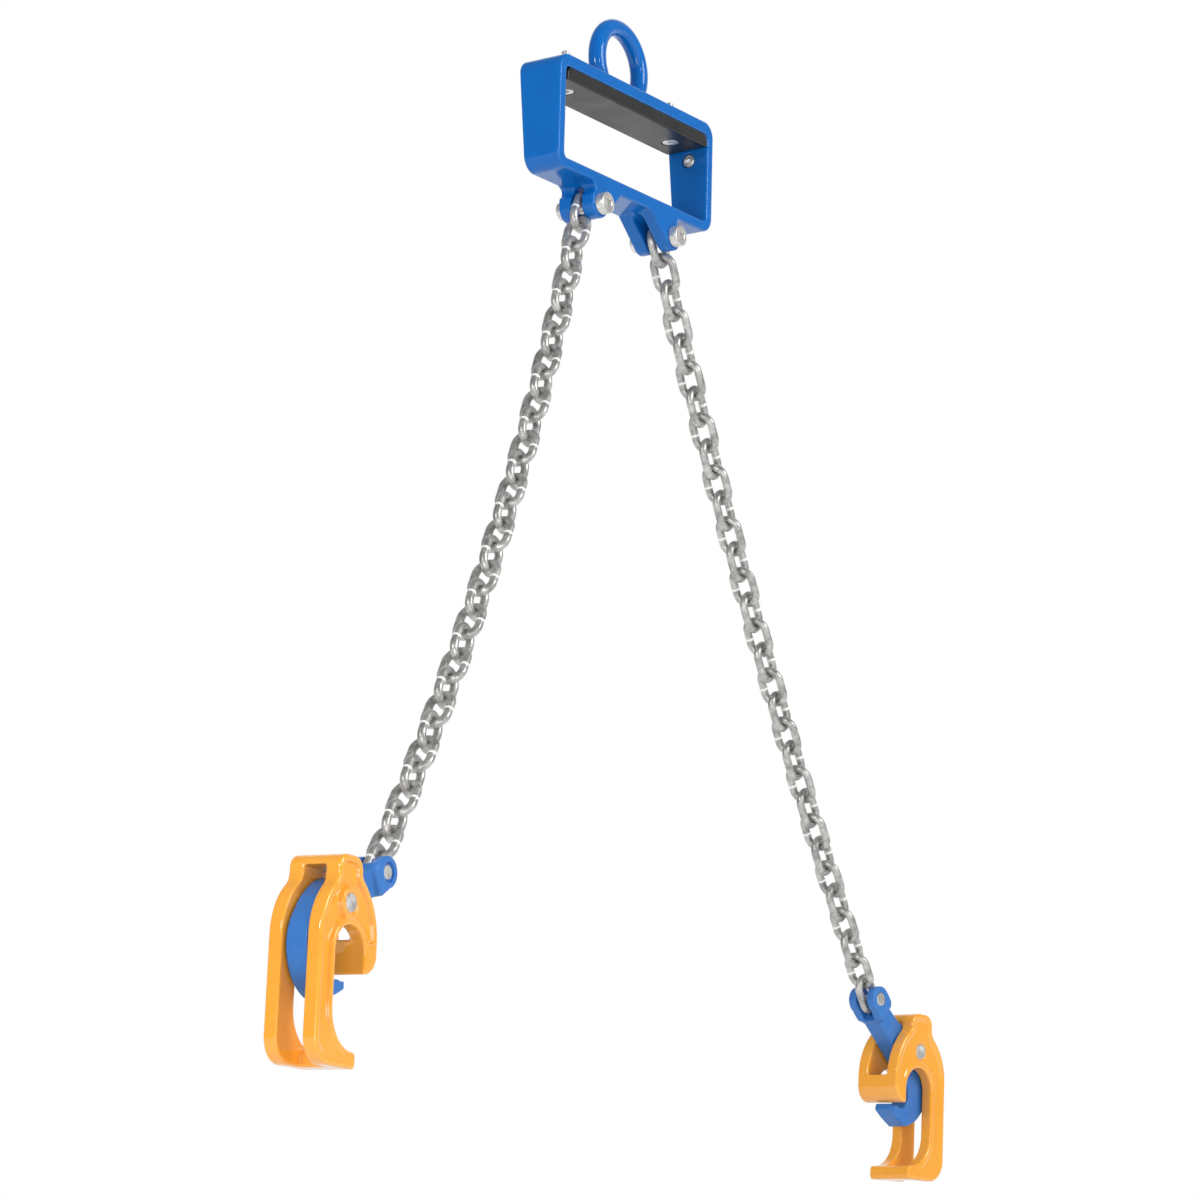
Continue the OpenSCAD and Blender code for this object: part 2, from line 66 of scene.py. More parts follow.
# Sizes of the chains
LINKS, WIRE, PITCH, LINK_W, LINK_GAP = 31, 6.0, 21.0, 22.5, 0.3
SLANT = {"left": (26.1, 39.5), "right": (27.4, 37.2)}
LEAN = {"left": -5.1, "right": 2.0}
SEAT_PLAY = 0.7
LEG_STEPS, BEND_STEPS, WIRE_SIDES = 28, 24, 18
# The last of these sets how hard-edged the painted highlight band on each link's weld bead is
WELD_AT, WELD_HALF, WELD_RISE, WELD_HIGHLIGHT_SHARPNESS = 1.2, 0.75, 0.32, 1.8

# Sizes of the clamps
LEVER_LEN, CAM_T, NECK_W = 61.0, 15.5, 17.0
FORK_R, FORK_W, FORK_GAP = 10.4, 25.2, 10.6
CHAIN_PIN_D, CHAIN_RIVET_D = 8.0, 11.0
CAM_R = 34.5
COUNTERBORE_D, COUNTERBORE_DEPTH, SHOULDER = 13.2, 2.6, 45.7
PLATE_T, JAW_SLOT, JAW_TOP, JAW_DROP = 10.0, 18.5, 30.0, 102.0
HEAD_HALF, LIMB_W, MOUTH_W, NOSE_DROP = 13.5, 18.5, 34.0, 42.0
LIP_T, LIP_REACH, PIVOT_D, RING_H = 10.8, 15.0, 12.0, 0.8
RIM_W, BOSS_R, JAW_EDGE_R, JAW_SLOT_EDGE_R, JAW_SLOT_CORNER_R = 4.6, 10.8, 1.7, 1.3, 2.0
PANEL_DEEP, PANEL_SHALLOW, WALL_DEEP, WALL_SHALLOW = 3.0, 1.3, 1.9, 3.4
PANEL_FOOT, PANEL_TOE, PANEL_NOSE_GAP, PANEL_FADE_AT, PANEL_FADE = -60.0, 4.0, 1.5, 5.0, 24.0
BRIDGE_NARROWING, BRIDGE_FROM, BRIDGE_RUN = 1.2, 8.0, 8.0
LEVER_EDGE_R, HUB_R, FORK_JOIN_R, GAP_EDGE_R = 0.9, 12.0, 2.5, 0.9
FLANK_END, FORK_EDGE_R, FLANK_SOFTNESS, FLANK_RUN = 57.0, 1.3, 2.2, 8.0
YAW = {"left": -4.1, "right": 7.1}
LEVER_ANGLE = {"left": 25.0, "right": 39.0}
JAW_TILT = {"left": 1.2, "right": -1.1}
CLAMP_ROLL = 2.8
SIDES = {"left": -1.0, "right": 1.0}

# Steps of the grids on which the castings are skinned
FRAME_GRID, PAD_GRID, JAW_GRID, LEVER_GRID = 1.0, 0.9, 0.9, 0.8

# Levels that follow from those sizes
FRAME_TOP = -EYE_RISE
WINDOW_TOP = FRAME_TOP - TOP_BAR
WINDOW_BOTTOM = WINDOW_TOP - WINDOW_H
FRAME_BOTTOM = WINDOW_BOTTOM - BOTTOM_BAR
FRAME_HALF = WINDOW_W / 2 + SIDE_WALL
BOLT_Z = WINDOW_BOTTOM - LUG_DROP
ARCH_Z = WINDOW_BOTTOM - ARCH_DROP
PAD_BOTTOM = WINDOW_TOP - PAD_T
CLAMP_Z = WINDOW_TOP - CLAMP_DROP
SLOT_SPRING = BOLT_Z + LINK_W / 2 + 4 * LINK_GAP - 0.35 * LUG_SLOT
LUG_FILLET_R = (FRAME_BOTTOM - BOLT_Z) * 0.29
INNER_LEN = PITCH + LINK_GAP
CROWN_R = (LINK_W - WIRE) / 2
LEG = INNER_LEN / 2 + WIRE / 2 - CROWN_R
JAW_HALF = JAW_SLOT / 2 + PLATE_T
MOUTH_SHIFT = 3.0
MOUTH_BACK = MOUTH_SHIFT - MOUTH_W / 2
MOUTH_FRONT = MOUTH_SHIFT + MOUTH_W / 2
LIMB_BACK = MOUTH_BACK - LIMB_W
MOUTH_TOP = -13.5
NOSE_FRONT = MOUTH_FRONT + 14.3
NOSE_TOP = -20.5
BAR_BOTTOM = JAW_TOP - 7
LIP_TOP = -JAW_DROP + LIP_T


# Camera of the photograph, for an image of 1200 by 1200
CAMERA_PLACE = (-2.5832, -1.6098, -1.0417)
CAMERA_AZIMUTH, CAMERA_PITCH, CAMERA_ROLL = 57.72, 11.77, -0.7
CAMERA_FOCAL_PX, IMAGE_PX, SENSOR = 4263.91, 1200.0, 36.0


def aim_camera():
    """Places the camera: forward from azimuth and pitch, then a small roll about it."""
    a, p, q = (math.radians(v) for v in (CAMERA_AZIMUTH, CAMERA_PITCH, CAMERA_ROLL))
    forward = np.array([math.sin(a) * math.cos(p), math.cos(a) * math.cos(p), math.sin(p)])
    level = np.array([math.cos(a), -math.sin(a), 0.0])
    upright = np.cross(level, forward)
    right = math.cos(q) * level + math.sin(q) * upright
    up = math.cos(q) * upright - math.sin(q) * level
    data = bpy.data.cameras.new("photo_camera")
    data.sensor_fit = "HORIZONTAL"
    data.sensor_width = SENSOR
    data.lens = CAMERA_FOCAL_PX * SENSOR / IMAGE_PX
    cam = bpy.data.objects.new("photo_camera", data)
    bpy.context.scene.collection.objects.link(cam)
    turn = np.eye(4)
    turn[:3, 0], turn[:3, 1], turn[:3, 2], turn[:3, 3] = right, up, -forward, CAMERA_PLACE
    cam.matrix_world = Matrix(turn.tolist())
    bpy.context.scene.camera = cam


# Distance fields: negative inside, in millimetres
def joined(a, b, r):
    """Union of two fields with a hollow fillet of radius r where they meet."""
    return np.maximum(r, np.minimum(a, b)) - np.hypot(np.maximum(r - a, 0), np.maximum(r - b, 0))


def common(a, b, r):
    """Intersection of two fields with an edge rounded to radius r."""
    return np.minimum(-r, np.maximum(a, b)) + np.hypot(np.maximum(r + a, 0), np.maximum(r + b, 0))


def cut(a, b, r):
    """Field a without field b, the new edge rounded to radius r."""
    return common(a, -b, r)


def disc(x, y, cx, cy, r):
    """Circle of radius r around cx, cy."""
    return np.hypot(x - cx, y - cy) - r


def slab(x, y, cx, cy, hx, hy, r=0.0):
    """Rectangle of half sides hx and hy with corners of radius r."""
    dx, dy = np.abs(x - cx) - hx + r, np.abs(y - cy) - hy + r
    return np.hypot(np.maximum(dx, 0), np.maximum(dy, 0)) + np.minimum(np.maximum(dx, dy), 0) - r


def polygon(x, y, corners):
    """Closed polygon: nearest distance to its edges, negative where an odd number of edges lies
    to the right."""
    corners = np.asarray(corners, float)
    best = np.full(x.shape, np.inf)
    inside = np.zeros(x.shape, bool)
    for (ax, ay), (bx, by) in zip(corners, np.roll(corners, -1, axis=0)):
        ex, ey = bx - ax, by - ay
        t = np.clip(((x - ax) * ex + (y - ay) * ey) / max(ex * ex + ey * ey, 1e-12), 0, 1)
        best = np.minimum(best, (x - ax - t * ex) ** 2 + (y - ay - t * ey) ** 2)
        if ay != by:
            inside ^= ((ay > y) != (by > y)) & (x < ax + (y - ay) * ex / ey)
    return np.where(inside, -1.0, 1.0) * np.sqrt(best)


class OutlineMap:
    """A flat field sampled once on a fine grid and read back by linear steps between its points."""

    def __init__(self, field, low, high, step):
        self.low, self.step = np.asarray(low, float), step
        axes = [np.arange(a, b + step, step) for a, b in zip(low, high)]
        self.grid = field(*np.meshgrid(*axes, indexing="ij"))

    def __call__(self, x, y):
        last = np.array(self.grid.shape) - 2
        fx = np.clip((x - self.low[0]) / self.step, 0, last[0] + 0.999)
        fy = np.clip((y - self.low[1]) / self.step, 0, last[1] + 0.999)
        i, j = fx.astype(int), fy.astype(int)
        fx, fy = fx - i, fy - j
        g = self.grid
        near = g[i, j] * (1 - fy) + g[i, j + 1] * fy
        far = g[i + 1, j] * (1 - fy) + g[i + 1, j + 1] * fy
        return near * (1 - fx) + far * fx


def skin(field, low, high, step):
    """Skin of a field on a grid: one point in each cell that the surface crosses, at the middle of its
    edge crossings, then moved along the field's slope until the field is zero, and quads between them."""
    axes = [np.arange(a, b + step, step) for a, b in zip(low, high)]
    x, y, z = np.meshgrid(*axes, indexing="ij")
    value = field(x, y, z)
    nx, ny, nz = value.shape
    cells = (nx - 1, ny - 1, nz - 1)
    total, count = np.zeros(cells + (3,)), np.zeros(cells)
    corners = [(a, b, c) for a in (0, 1) for b in (0, 1) for c in (0, 1)]
    for p in corners:
        for axis in range(3):
            if p[axis]:
                continue
            q = list(p)
            q[axis] = 1
            v0 = value[p[0]:p[0] + cells[0], p[1]:p[1] + cells[1], p[2]:p[2] + cells[2]]
            v1 = value[q[0]:q[0] + cells[0], q[1]:q[1] + cells[1], q[2]:q[2] + cells[2]]
            crossed = (v0 < 0) != (v1 < 0)
            share = np.where(crossed, v0 / np.where(crossed, v0 - v1, 1), 0)
            for k in range(3):
                total[..., k] += crossed * (p[k] + (share if k == axis else 0))
            count += crossed
    used = count > 0
    number = np.full(cells, -1)
    number[used] = np.arange(used.sum())
    place = np.argwhere(used) + total[used] / count[used][:, None]
    points = np.asarray(low, float) + place * step
    quads = []
    for axis in range(3):
        one, two = (axis + 1) % 3, (axis + 2) % 3
        sign = value < 0
        near = np.take(sign, range(value.shape[axis] - 1), axis)
        far = np.take(sign, range(1, value.shape[axis]), axis)
        edge = np.argwhere(near != far)
        edge = edge[(edge[:, one] > 0) & (edge[:, two] > 0)
                    & (edge[:, one] < value.shape[one] - 1) & (edge[:, two] < value.shape[two] - 1)]
        around = []
        for da, db in ((1, 1), (0, 1), (0, 0), (1, 0)):
            cell = edge.copy()
            cell[:, one] -= da
            cell[:, two] -= db
            around.append(number[cell[:, 0], cell[:, 1], cell[:, 2]])
        quad = np.stack(around, 1)
        outward = near[edge[:, 0], edge[:, 1], edge[:, 2]]
        quads.append(np.where(outward[:, None], quad, quad[:, ::-1]))
    tiny = 0.02
    for _ in range(4):
        f = field(*points.T)
        slope = np.stack([field(*(points + tiny * d).T) - field(*(points - tiny * d).T)
                          for d in np.eye(3)], 1) / (2 * tiny)
        size = np.maximum((slope ** 2).sum(1), 0.05)
        points = points - np.clip(f / size, -0.4 * step, 0.4 * step)[:, None] * slope
    return points, np.concatenate(quads)


# Meshes
def make_piece(name, points, quads, body, slot, finish, nodes, sharp=None, masks=None):
    """Puts points in millimetres and quads into a mesh piece that rides on a body in place of CAD nodes."""
    mesh = bpy.data.meshes.new(name)
    mesh.vertices.add(len(points))
    mesh.vertices.foreach_set("co", (np.asarray(points, float) * MM).ravel())
    mesh.loops.add(quads.size)
    mesh.loops.foreach_set("vertex_index", np.asarray(quads, np.int32).ravel())
    mesh.polygons.add(len(quads))
    mesh.polygons.foreach_set("loop_start", np.arange(0, quads.size, quads.shape[1], dtype=np.int32))
    for key, values in (masks or {}).items():
        mesh.attributes.new(key, "FLOAT", "POINT").data.foreach_set("value", np.asarray(values, np.float32))
    mesh.update(calc_edges=True)
    mesh.validate()
    shape = bmesh.new()
    shape.from_mesh(mesh)
    bmesh.ops.remove_doubles(shape, verts=shape.verts, dist=1e-7)
    bmesh.ops.dissolve_degenerate(shape, edges=shape.edges, dist=1e-7)
    bmesh.ops.recalc_face_normals(shape, faces=shape.faces)
    shape.to_mesh(mesh)
    shape.free()
    mesh.shade_smooth()
    if sharp is not None:
        mesh.set_sharp_from_angle(angle=math.radians(sharp))
    mesh.materials.append(finish)
    piece = bpy.data.objects.new(name, mesh)
    bpy.context.scene.collection.objects.link(piece)
    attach(piece, body)
    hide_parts(*nodes)
    return piece


def net(rows, columns, loop_rows, loop_columns):
    """Quads of a grid of points, with its last row or column joined to the first where it loops."""
    i, j = np.meshgrid(np.arange(rows - (not loop_rows)), np.arange(columns - (not loop_columns)),
                       indexing="ij")
    a, b = (i + 1) % rows, (j + 1) % columns
    return np.stack([i * columns + j, a * columns + j, a * columns + b, i * columns + b], -1).reshape(-1, 4)


def lathe(rings, sides=48):
    """Turned shape about z: rings of radius, height and 0 for round or 1 for six flats. A flat's radius is
    half its width across flats, so the radius at angle t is r / cos(t - the nearest flat's angle)."""
    rings = np.asarray(rings, float)
    t = np.arange(sides) * 2 * np.pi / sides
    flat = 1 / np.cos((t + np.pi / 6) % (np.pi / 3) - np.pi / 6)
    r = rings[:, :1] * (1 + rings[:, 2:3] * (flat - 1))
    points = np.stack([r * np.cos(t), r * np.sin(t), np.broadcast_to(rings[:, 1:2], r.shape)], -1)
    return points.reshape(-1, 3), net(len(rings), sides, False, True)


def placed(points, origin, x, y, z):
    """Points of a local frame with axes x, y and z, put at origin."""
    return np.asarray(origin) + points @ np.stack([x, y, z])


def several(shapes):
    """Several point and quad sets as one."""
    starts = np.cumsum([0] + [len(p) for p, _ in shapes[:-1]])
    quads = [q + s for (_, q), s in zip(shapes, starts)]
    return np.concatenate([p for p, _ in shapes]), np.concatenate(quads)


X_AXIS, Y_AXIS, Z_AXIS = np.eye(3)


# Materials
PAINT_IOR, PAINT_SPECULAR, PEEL_HEIGHT = 1.5, 0.06, 0.0004
STEEL_METALLIC, STEEL_BUMP, STEEL_PITS = 0.65, 0.12, 0.0003


def linear(red, green, blue):
    """Colour written as 0 to 255 on a screen, as the linear colour that shaders take."""
    c = np.array([red, green, blue]) / 255
    return tuple(np.where(c <= 0.04045, c / 12.92, ((c + 0.055) / 1.055) ** 2.4)) + (1.0,)


def add(tree, kind, **values):
    """A shader node with its properties and unlinked input values set."""
    node = tree.nodes.new(kind)
    for key, value in values.items():
        if key.startswith("in_"):
            node.inputs[key[3:].replace("_", " ")].default_value = value
        else:
            setattr(node, key, value)
    return node


def new_group(name, inputs, outputs):
    """An empty shader node group with named inputs and outputs."""
    group = bpy.data.node_groups.new(name, "ShaderNodeTree")
    for label, kind, value in inputs:
        socket = group.interface.new_socket(label, in_out="INPUT", socket_type=kind)
        if value is not None:
            socket.default_value = value
    for label, kind in outputs:
        group.interface.new_socket(label, in_out="OUTPUT", socket_type=kind)
    return group, group.nodes.new("NodeGroupInput"), group.nodes.new("NodeGroupOutput")


def paint_skin_group():
    """Sprayed enamel: slow drifts of tone, fine dust specks and a shallow orange-peel skin."""
    group, come, go = new_group(
        "paint_skin",
        [("Vector", "NodeSocketVector", None), ("Drift Scale", "NodeSocketFloat", 22.0),
         ("Peel Scale", "NodeSocketFloat", 420.0), ("Speck Scale", "NodeSocketFloat", 900.0)],
        [("Tone", "NodeSocketFloat"), ("Specks", "NodeSocketFloat"), ("Rough", "NodeSocketFloat"),
         ("Height", "NodeSocketFloat")])
    link = group.links.new
    drift = add(group, "ShaderNodeTexNoise", in_Detail=4.0, in_Roughness=0.6)
    peel = add(group, "ShaderNodeTexNoise", in_Detail=2.0, in_Roughness=0.5)
    speck = add(group, "ShaderNodeTexVoronoi", feature="F1")
    for node, scale in ((drift, "Drift Scale"), (peel, "Peel Scale"), (speck, "Speck Scale")):
        link(come.outputs["Vector"], node.inputs["Vector"])
        link(come.outputs[scale], node.inputs["Scale"])
    dots = add(group, "ShaderNodeMapRange", in_From_Min=0.05, in_From_Max=0.14, in_To_Min=1.0, in_To_Max=0.0)
    link(speck.outputs["Distance"], dots.inputs["Value"])
    few = add(group, "ShaderNodeMath", operation="GREATER_THAN")
    few.inputs[1].default_value = 0.93
    shade = add(group, "ShaderNodeSeparateColor")
    link(speck.outputs["Color"], shade.inputs["Color"])
    link(shade.outputs["Red"], few.inputs[0])
    specks = add(group, "ShaderNodeMath", operation="MULTIPLY")
    link(dots.outputs["Result"], specks.inputs[0])
    link(few.outputs[0], specks.inputs[1])
    rough = add(group, "ShaderNodeMapRange", in_From_Min=0.3, in_From_Max=0.7, in_To_Min=0.0, in_To_Max=1.0)
    link(drift.outputs["Fac"], rough.inputs["Value"])
    link(drift.outputs["Fac"], go.inputs["Tone"])
    link(specks.outputs[0], go.inputs["Specks"])
    link(rough.outputs["Result"], go.inputs["Rough"])
    link(peel.outputs["Fac"], go.inputs["Height"])
    return group


def metal_marks_group():
    """Bare steel: cloudy stains, fine handling scratches along one axis and pits."""
    group, come, go = new_group(
        "metal_marks",
        [("Vector", "NodeSocketVector", None), ("Stain Scale", "NodeSocketFloat", 90.0),
         ("Scratch Scale", "NodeSocketFloat", 700.0)],
        [("Stain", "NodeSocketFloat"), ("Scratch", "NodeSocketFloat"), ("Height", "NodeSocketFloat")])
    link = group.links.new
    stain = add(group, "ShaderNodeTexNoise", in_Detail=5.0, in_Roughness=0.65)
    link(come.outputs["Vector"], stain.inputs["Vector"])
    link(come.outputs["Stain Scale"], stain.inputs["Scale"])
    stretch = add(group, "ShaderNodeMapping")
    stretch.inputs["Scale"].default_value = (1.0, 1.0, 0.12)
    link(come.outputs["Vector"], stretch.inputs["Vector"])
    scratch = add(group, "ShaderNodeTexNoise", in_Detail=3.0, in_Roughness=0.7)
    link(stretch.outputs["Vector"], scratch.inputs["Vector"])
    link(come.outputs["Scratch Scale"], scratch.inputs["Scale"])
    mixed = add(group, "ShaderNodeMath", operation="ADD")
    link(stain.outputs["Fac"], mixed.inputs[0])
    link(scratch.outputs["Fac"], mixed.inputs[1])
    link(stain.outputs["Fac"], go.inputs["Stain"])
    link(scratch.outputs["Fac"], go.inputs["Scratch"])
    link(mixed.outputs[0], go.inputs["Height"])
    return group


def new_material(name):
    """A material with its principled shader and object coordinates at hand."""
    material = bpy.data.materials.new(name)
    material.use_nodes = True
    tree = material.node_tree
    tree.nodes.clear()
    shader = tree.nodes.new("ShaderNodeBsdfPrincipled")
    out = tree.nodes.new("ShaderNodeOutputMaterial")
    tree.links.new(shader.outputs["BSDF"], out.inputs["Surface"])
    place = tree.nodes.new("ShaderNodeTexCoord")
    return material, tree, shader, place.outputs["Object"]


def mix_colours(tree, factor, first, second):
    """Mix of two colours, each a plain colour or another node's output."""
    node = add(tree, "ShaderNodeMix", data_type="RGBA")
    tree.links.new(factor, node.inputs["Factor"])
    for socket, value in ((node.inputs[6], first), (node.inputs[7], second)):
        if isinstance(value, tuple):
            socket.default_value = value
        else:
            tree.links.new(value, socket)
    return node.outputs[2]


def spread(tree, value, low, high):
    """A 0 to 1 value spread between low and high."""
    node = add(tree, "ShaderNodeMapRange", in_To_Min=low, in_To_Max=high)
    tree.links.new(value, node.inputs["Value"])
    return node.outputs["Result"]


def bump(tree, shader, height, strength, distance):
    """A bump of that height on the shader."""
    node = add(tree, "ShaderNodeBump", in_Strength=strength, in_Distance=distance)
    tree.links.new(height, node.inputs["Height"])
    tree.links.new(node.outputs["Normal"], shader.inputs["Normal"])


def use_group(tree, group, vector, **values):
    """A group node fed with coordinates and its own values."""
    node = add(tree, "ShaderNodeGroup", node_tree=group)
    tree.links.new(vector, node.inputs["Vector"])
    for key, value in values.items():
        node.inputs[key.replace("_", " ")].default_value = value
    return node


def enamel(name, group, deep, light, speck, rough, coat, peel):
    """Gloss enamel on cast iron: a deep and a light tone, specks, and a clear top layer given as its weight,
    roughness and index of refraction."""
    material, tree, shader, place = new_material(name)
    marks = use_group(tree, group, place)
    tone = mix_colours(tree, marks.outputs["Tone"], deep, light)
    tone = mix_colours(tree, marks.outputs["Specks"], tone, speck)
    tree.links.new(tone, shader.inputs["Base Color"])
    tree.links.new(spread(tree, marks.outputs["Rough"], rough[0], rough[1]), shader.inputs["Roughness"])
    shader.inputs["Coat Weight"].default_value = coat[0]
    shader.inputs["Coat Roughness"].default_value = coat[1]
    shader.inputs["Coat IOR"].default_value = coat[2]
    shader.inputs["IOR"].default_value = PAINT_IOR
    shader.inputs["Specular IOR Level"].default_value = PAINT_SPECULAR
    bump(tree, shader, marks.outputs["Height"], peel, PEEL_HEIGHT)
    return material


def bare_steel(name, group, dark, bright, rough, stain_scale, weld_and_highlight=False):
    """Bare or zinc-plated steel: stains between a dark and a bright grey, scratches in its gloss, and a pale
    dull band along the link's weld mask: a painted highlight laid over the real weld bead."""
    material, tree, shader, place = new_material(name)
    marks = use_group(tree, group, place, Stain_Scale=stain_scale)
    stain = add(tree, "ShaderNodeMapRange", in_From_Min=0.34, in_From_Max=0.66)
    tree.links.new(marks.outputs["Stain"], stain.inputs["Value"])
    tone = mix_colours(tree, stain.outputs["Result"], dark, bright)
    shader.inputs["Metallic"].default_value = STEEL_METALLIC
    if weld_and_highlight:
        # The weld mask paints a pale, non-metallic highlight band across each link's weld bead
        weld_highlight = add(tree, "ShaderNodeAttribute", attribute_name="weld_highlight")
        tone = mix_colours(tree, weld_highlight.outputs["Fac"], tone, linear(252, 252, 250))
        tree.links.new(spread(tree, weld_highlight.outputs["Fac"], STEEL_METALLIC, 0.0), shader.inputs["Metallic"])
    tree.links.new(tone, shader.inputs["Base Color"])
    tree.links.new(spread(tree, marks.outputs["Scratch"], rough[0], rough[1]), shader.inputs["Roughness"])
    bump(tree, shader, marks.outputs["Height"], STEEL_BUMP, STEEL_PITS)
    return material


def pad_rubber_material(group):
    """Black moulded pad: nearly black with a grey bloom, fine grain and a dull sheen."""
    material, tree, shader, place = new_material("pad_black")
    marks = use_group(tree, group, place, Peel_Scale=1500.0, Drift_Scale=35.0)
    tone = mix_colours(tree, marks.outputs["Tone"], linear(22, 22, 22), linear(40, 39, 39))
    tone = mix_colours(tree, marks.outputs["Specks"], tone, linear(70, 70, 71))
    tree.links.new(tone, shader.inputs["Base Color"])
    tree.links.new(spread(tree, marks.outputs["Rough"], 0.3, 0.42), shader.inputs["Roughness"])
    bump(tree, shader, marks.outputs["Height"], 0.25, PEEL_HEIGHT)
    return material


skin_group = paint_skin_group()
marks_group = metal_marks_group()
FRAME_BLUE = enamel("frame_blue", skin_group, linear(0, 96, 180), linear(0, 114, 200),
                    linear(30, 132, 210), rough=(0.42, 0.54), coat=(1.0, 0.06, 1.4), peel=0.015)
LEVER_BLUE = enamel("lever_blue", skin_group, linear(44, 106, 184), linear(72, 132, 206),
                    linear(108, 160, 222), rough=(0.42, 0.56), coat=(0.5, 0.14, 1.5), peel=0.2)
JAW_AMBER = enamel("jaw_amber", skin_group, linear(248, 160, 40), linear(253, 180, 70),
                   linear(255, 208, 124), rough=(0.4, 0.5), coat=(1.0, 0.06, 1.65), peel=0.03)
# Chain steel, with a painted highlight band across each link's weld bead
CHAIN_STEEL = bare_steel("chain_steel", marks_group, linear(150, 149, 147), linear(214, 213, 210),
                         rough=(0.24, 0.44), stain_scale=160.0, weld_and_highlight=True)
BOLT_STEEL = bare_steel("bolt_steel", marks_group, linear(204, 203, 201), linear(240, 239, 236),
                        rough=(0.2, 0.36), stain_scale=120.0)
PAD_BLACK = pad_rubber_material(skin_group)


# Fork frame
def lug_field(x, z, side):
    """A lug seen from the front: a disc around its bolt and a web up to the bar, with a waist outside."""
    middle = WINDOW_BOTTOM - BOTTOM_BAR / 2
    mid = side * LUG_X
    web = [[0, middle], [0, ARCH_Z], [side * ARCH_HALF, ARCH_Z],
           [mid - side * LUG_R * LUG_TOE_IN, BOLT_Z - LUG_R * LUG_TOE_DROP],
           [mid + side * LUG_R * LUG_OUTER, BOLT_Z], [mid + side * LUG_R * LUG_OUTER, middle]]
    body = np.minimum(disc(x, z, mid, BOLT_Z, LUG_R), polygon(x, z, web))
    waist_x = mid + side * (LUG_R + LUG_FILLET_R * LUG_WAIST_OUT)
    return cut(body, disc(x, z, waist_x, FRAME_BOTTOM - LUG_FILLET_R, LUG_FILLET_R), LUG_WAIST_R)


def frame_front(x, z):
    """The frame seen from the front: a rounded rectangle and two lugs, without the window."""
    body = slab(x, z, 0, (FRAME_TOP + FRAME_BOTTOM) / 2, FRAME_HALF, (FRAME_TOP - FRAME_BOTTOM) / 2, CORNER_R)
    lugs = np.minimum(lug_field(x, z, -1.0), lug_field(x, z, 1.0))
    body = joined(body, lugs, LUG_JOIN_R)
    window = slab(x, z, 0, (WINDOW_TOP + WINDOW_BOTTOM) / 2, WINDOW_W / 2, WINDOW_H / 2, WINDOW_R)
    return np.maximum(body, -window)


front_map = OutlineMap(frame_front, (-112, -138), (112, -15), 0.4)


def frame_field(x, y, z):
    """The frame: its front outline through a depth that tapers from the top to the window's foot, with
    chain slots under round roofs, a hollow round the clamp screw's tip and soft cast edges."""
    share = np.clip((FRAME_TOP - z) / (FRAME_TOP - WINDOW_BOTTOM), 0, 1)
    half = (TOP_DEPTH + (BOTTOM_DEPTH - TOP_DEPTH) * share) / 2
    body = common(front_map(x, z), np.abs(y) - half, CAST_EDGE_R)
    roof = np.hypot(y, np.maximum(z - SLOT_SPRING, 0)) - LUG_SLOT / 2
    slot = np.maximum(roof, np.abs(np.abs(x) - LUG_X) - (LUG_X - ARCH_HALF))
    body = cut(body, slot, SLOT_EDGE_R)
    hole = np.maximum(np.hypot(y, z - CLAMP_Z) - CLAMP_D / 2 - TIP_HOLE_ROOM,
                      np.abs(x - WINDOW_W / 2 - 1) - TIP_HOLE_DEPTH)
    return cut(body, hole, TIP_HOLE_EDGE_R)


def build_frame():
    """The cast frame, its welded eye and the black pad under its top bar."""
    points, quads = skin(frame_field, (-110, -21, -135), (110, 21, -18), FRAME_GRID)
    make_piece("fork_frame", points, quads, "frame", "frame_paint", FRAME_BLUE, ["cast_frame"])

    foot = math.asin(EYE_RISE / EYE_R) + 0.12
    turn = np.linspace(-foot, math.pi + foot, EYE_STEPS)
    round_bar = np.linspace(0, 2 * np.pi, EYE_SIDES, endpoint=False)
    t, s = np.meshgrid(turn, round_bar, indexing="ij")
    r = EYE_R + EYE_BAR / 2 * np.cos(s)
    eye = np.stack([r * np.cos(t), EYE_BAR / 2 * np.sin(s), r * np.sin(t)], -1)
    low = np.clip(EYE_WELD - (eye[..., 2] - FRAME_TOP), 0, EYE_WELD)
    swell = EYE_WELD - np.sqrt(EYE_WELD ** 2 - low ** 2)
    eye[..., 0] += swell * np.cos(s) * np.cos(t)
    eye[..., 1] += swell * np.sin(s)
    make_piece("lifting_ring", eye.reshape(-1, 3), net(EYE_STEPS, EYE_SIDES, False, True), "frame",
               "frame_paint", FRAME_BLUE, ["lifting_eye"])

    def pad_field(x, y, z):
        """The pad: a slab with soft edges, sloped top corners at its ends and two countersunk seats."""
        end = WINDOW_W / 2 - PAD_END_GAP
        flat = slab(x, y, 0, 0, end, PAD_DEPTH / 2, PAD_CORNER_R)
        body = common(flat, np.abs(z - (WINDOW_TOP + PAD_BOTTOM) / 2) - PAD_T / 2, PAD_EDGE_R)
        body = common(body, (np.abs(x) - end + z - WINDOW_TOP + WINDOW_R) * DIAGONAL, 0.5)
        reach = np.hypot(np.abs(x) - PAD_SCREW_X, y)
        cone = (reach - PAD_HEAD_D / 2 - PAD_SEAT_ROOM + (z - PAD_BOTTOM)) * DIAGONAL
        seat = np.maximum(cone, PAD_BOTTOM - PAD_SEAT_DEPTH - z)
        return cut(body, seat, 0.3)

    points, quads = skin(pad_field, (-101, -20, -42), (101, 20, -28), PAD_GRID)
    pad = make_piece("tine_pad", points, quads, "frame", "pad_rubber", PAD_BLACK, ["grip_pad"])


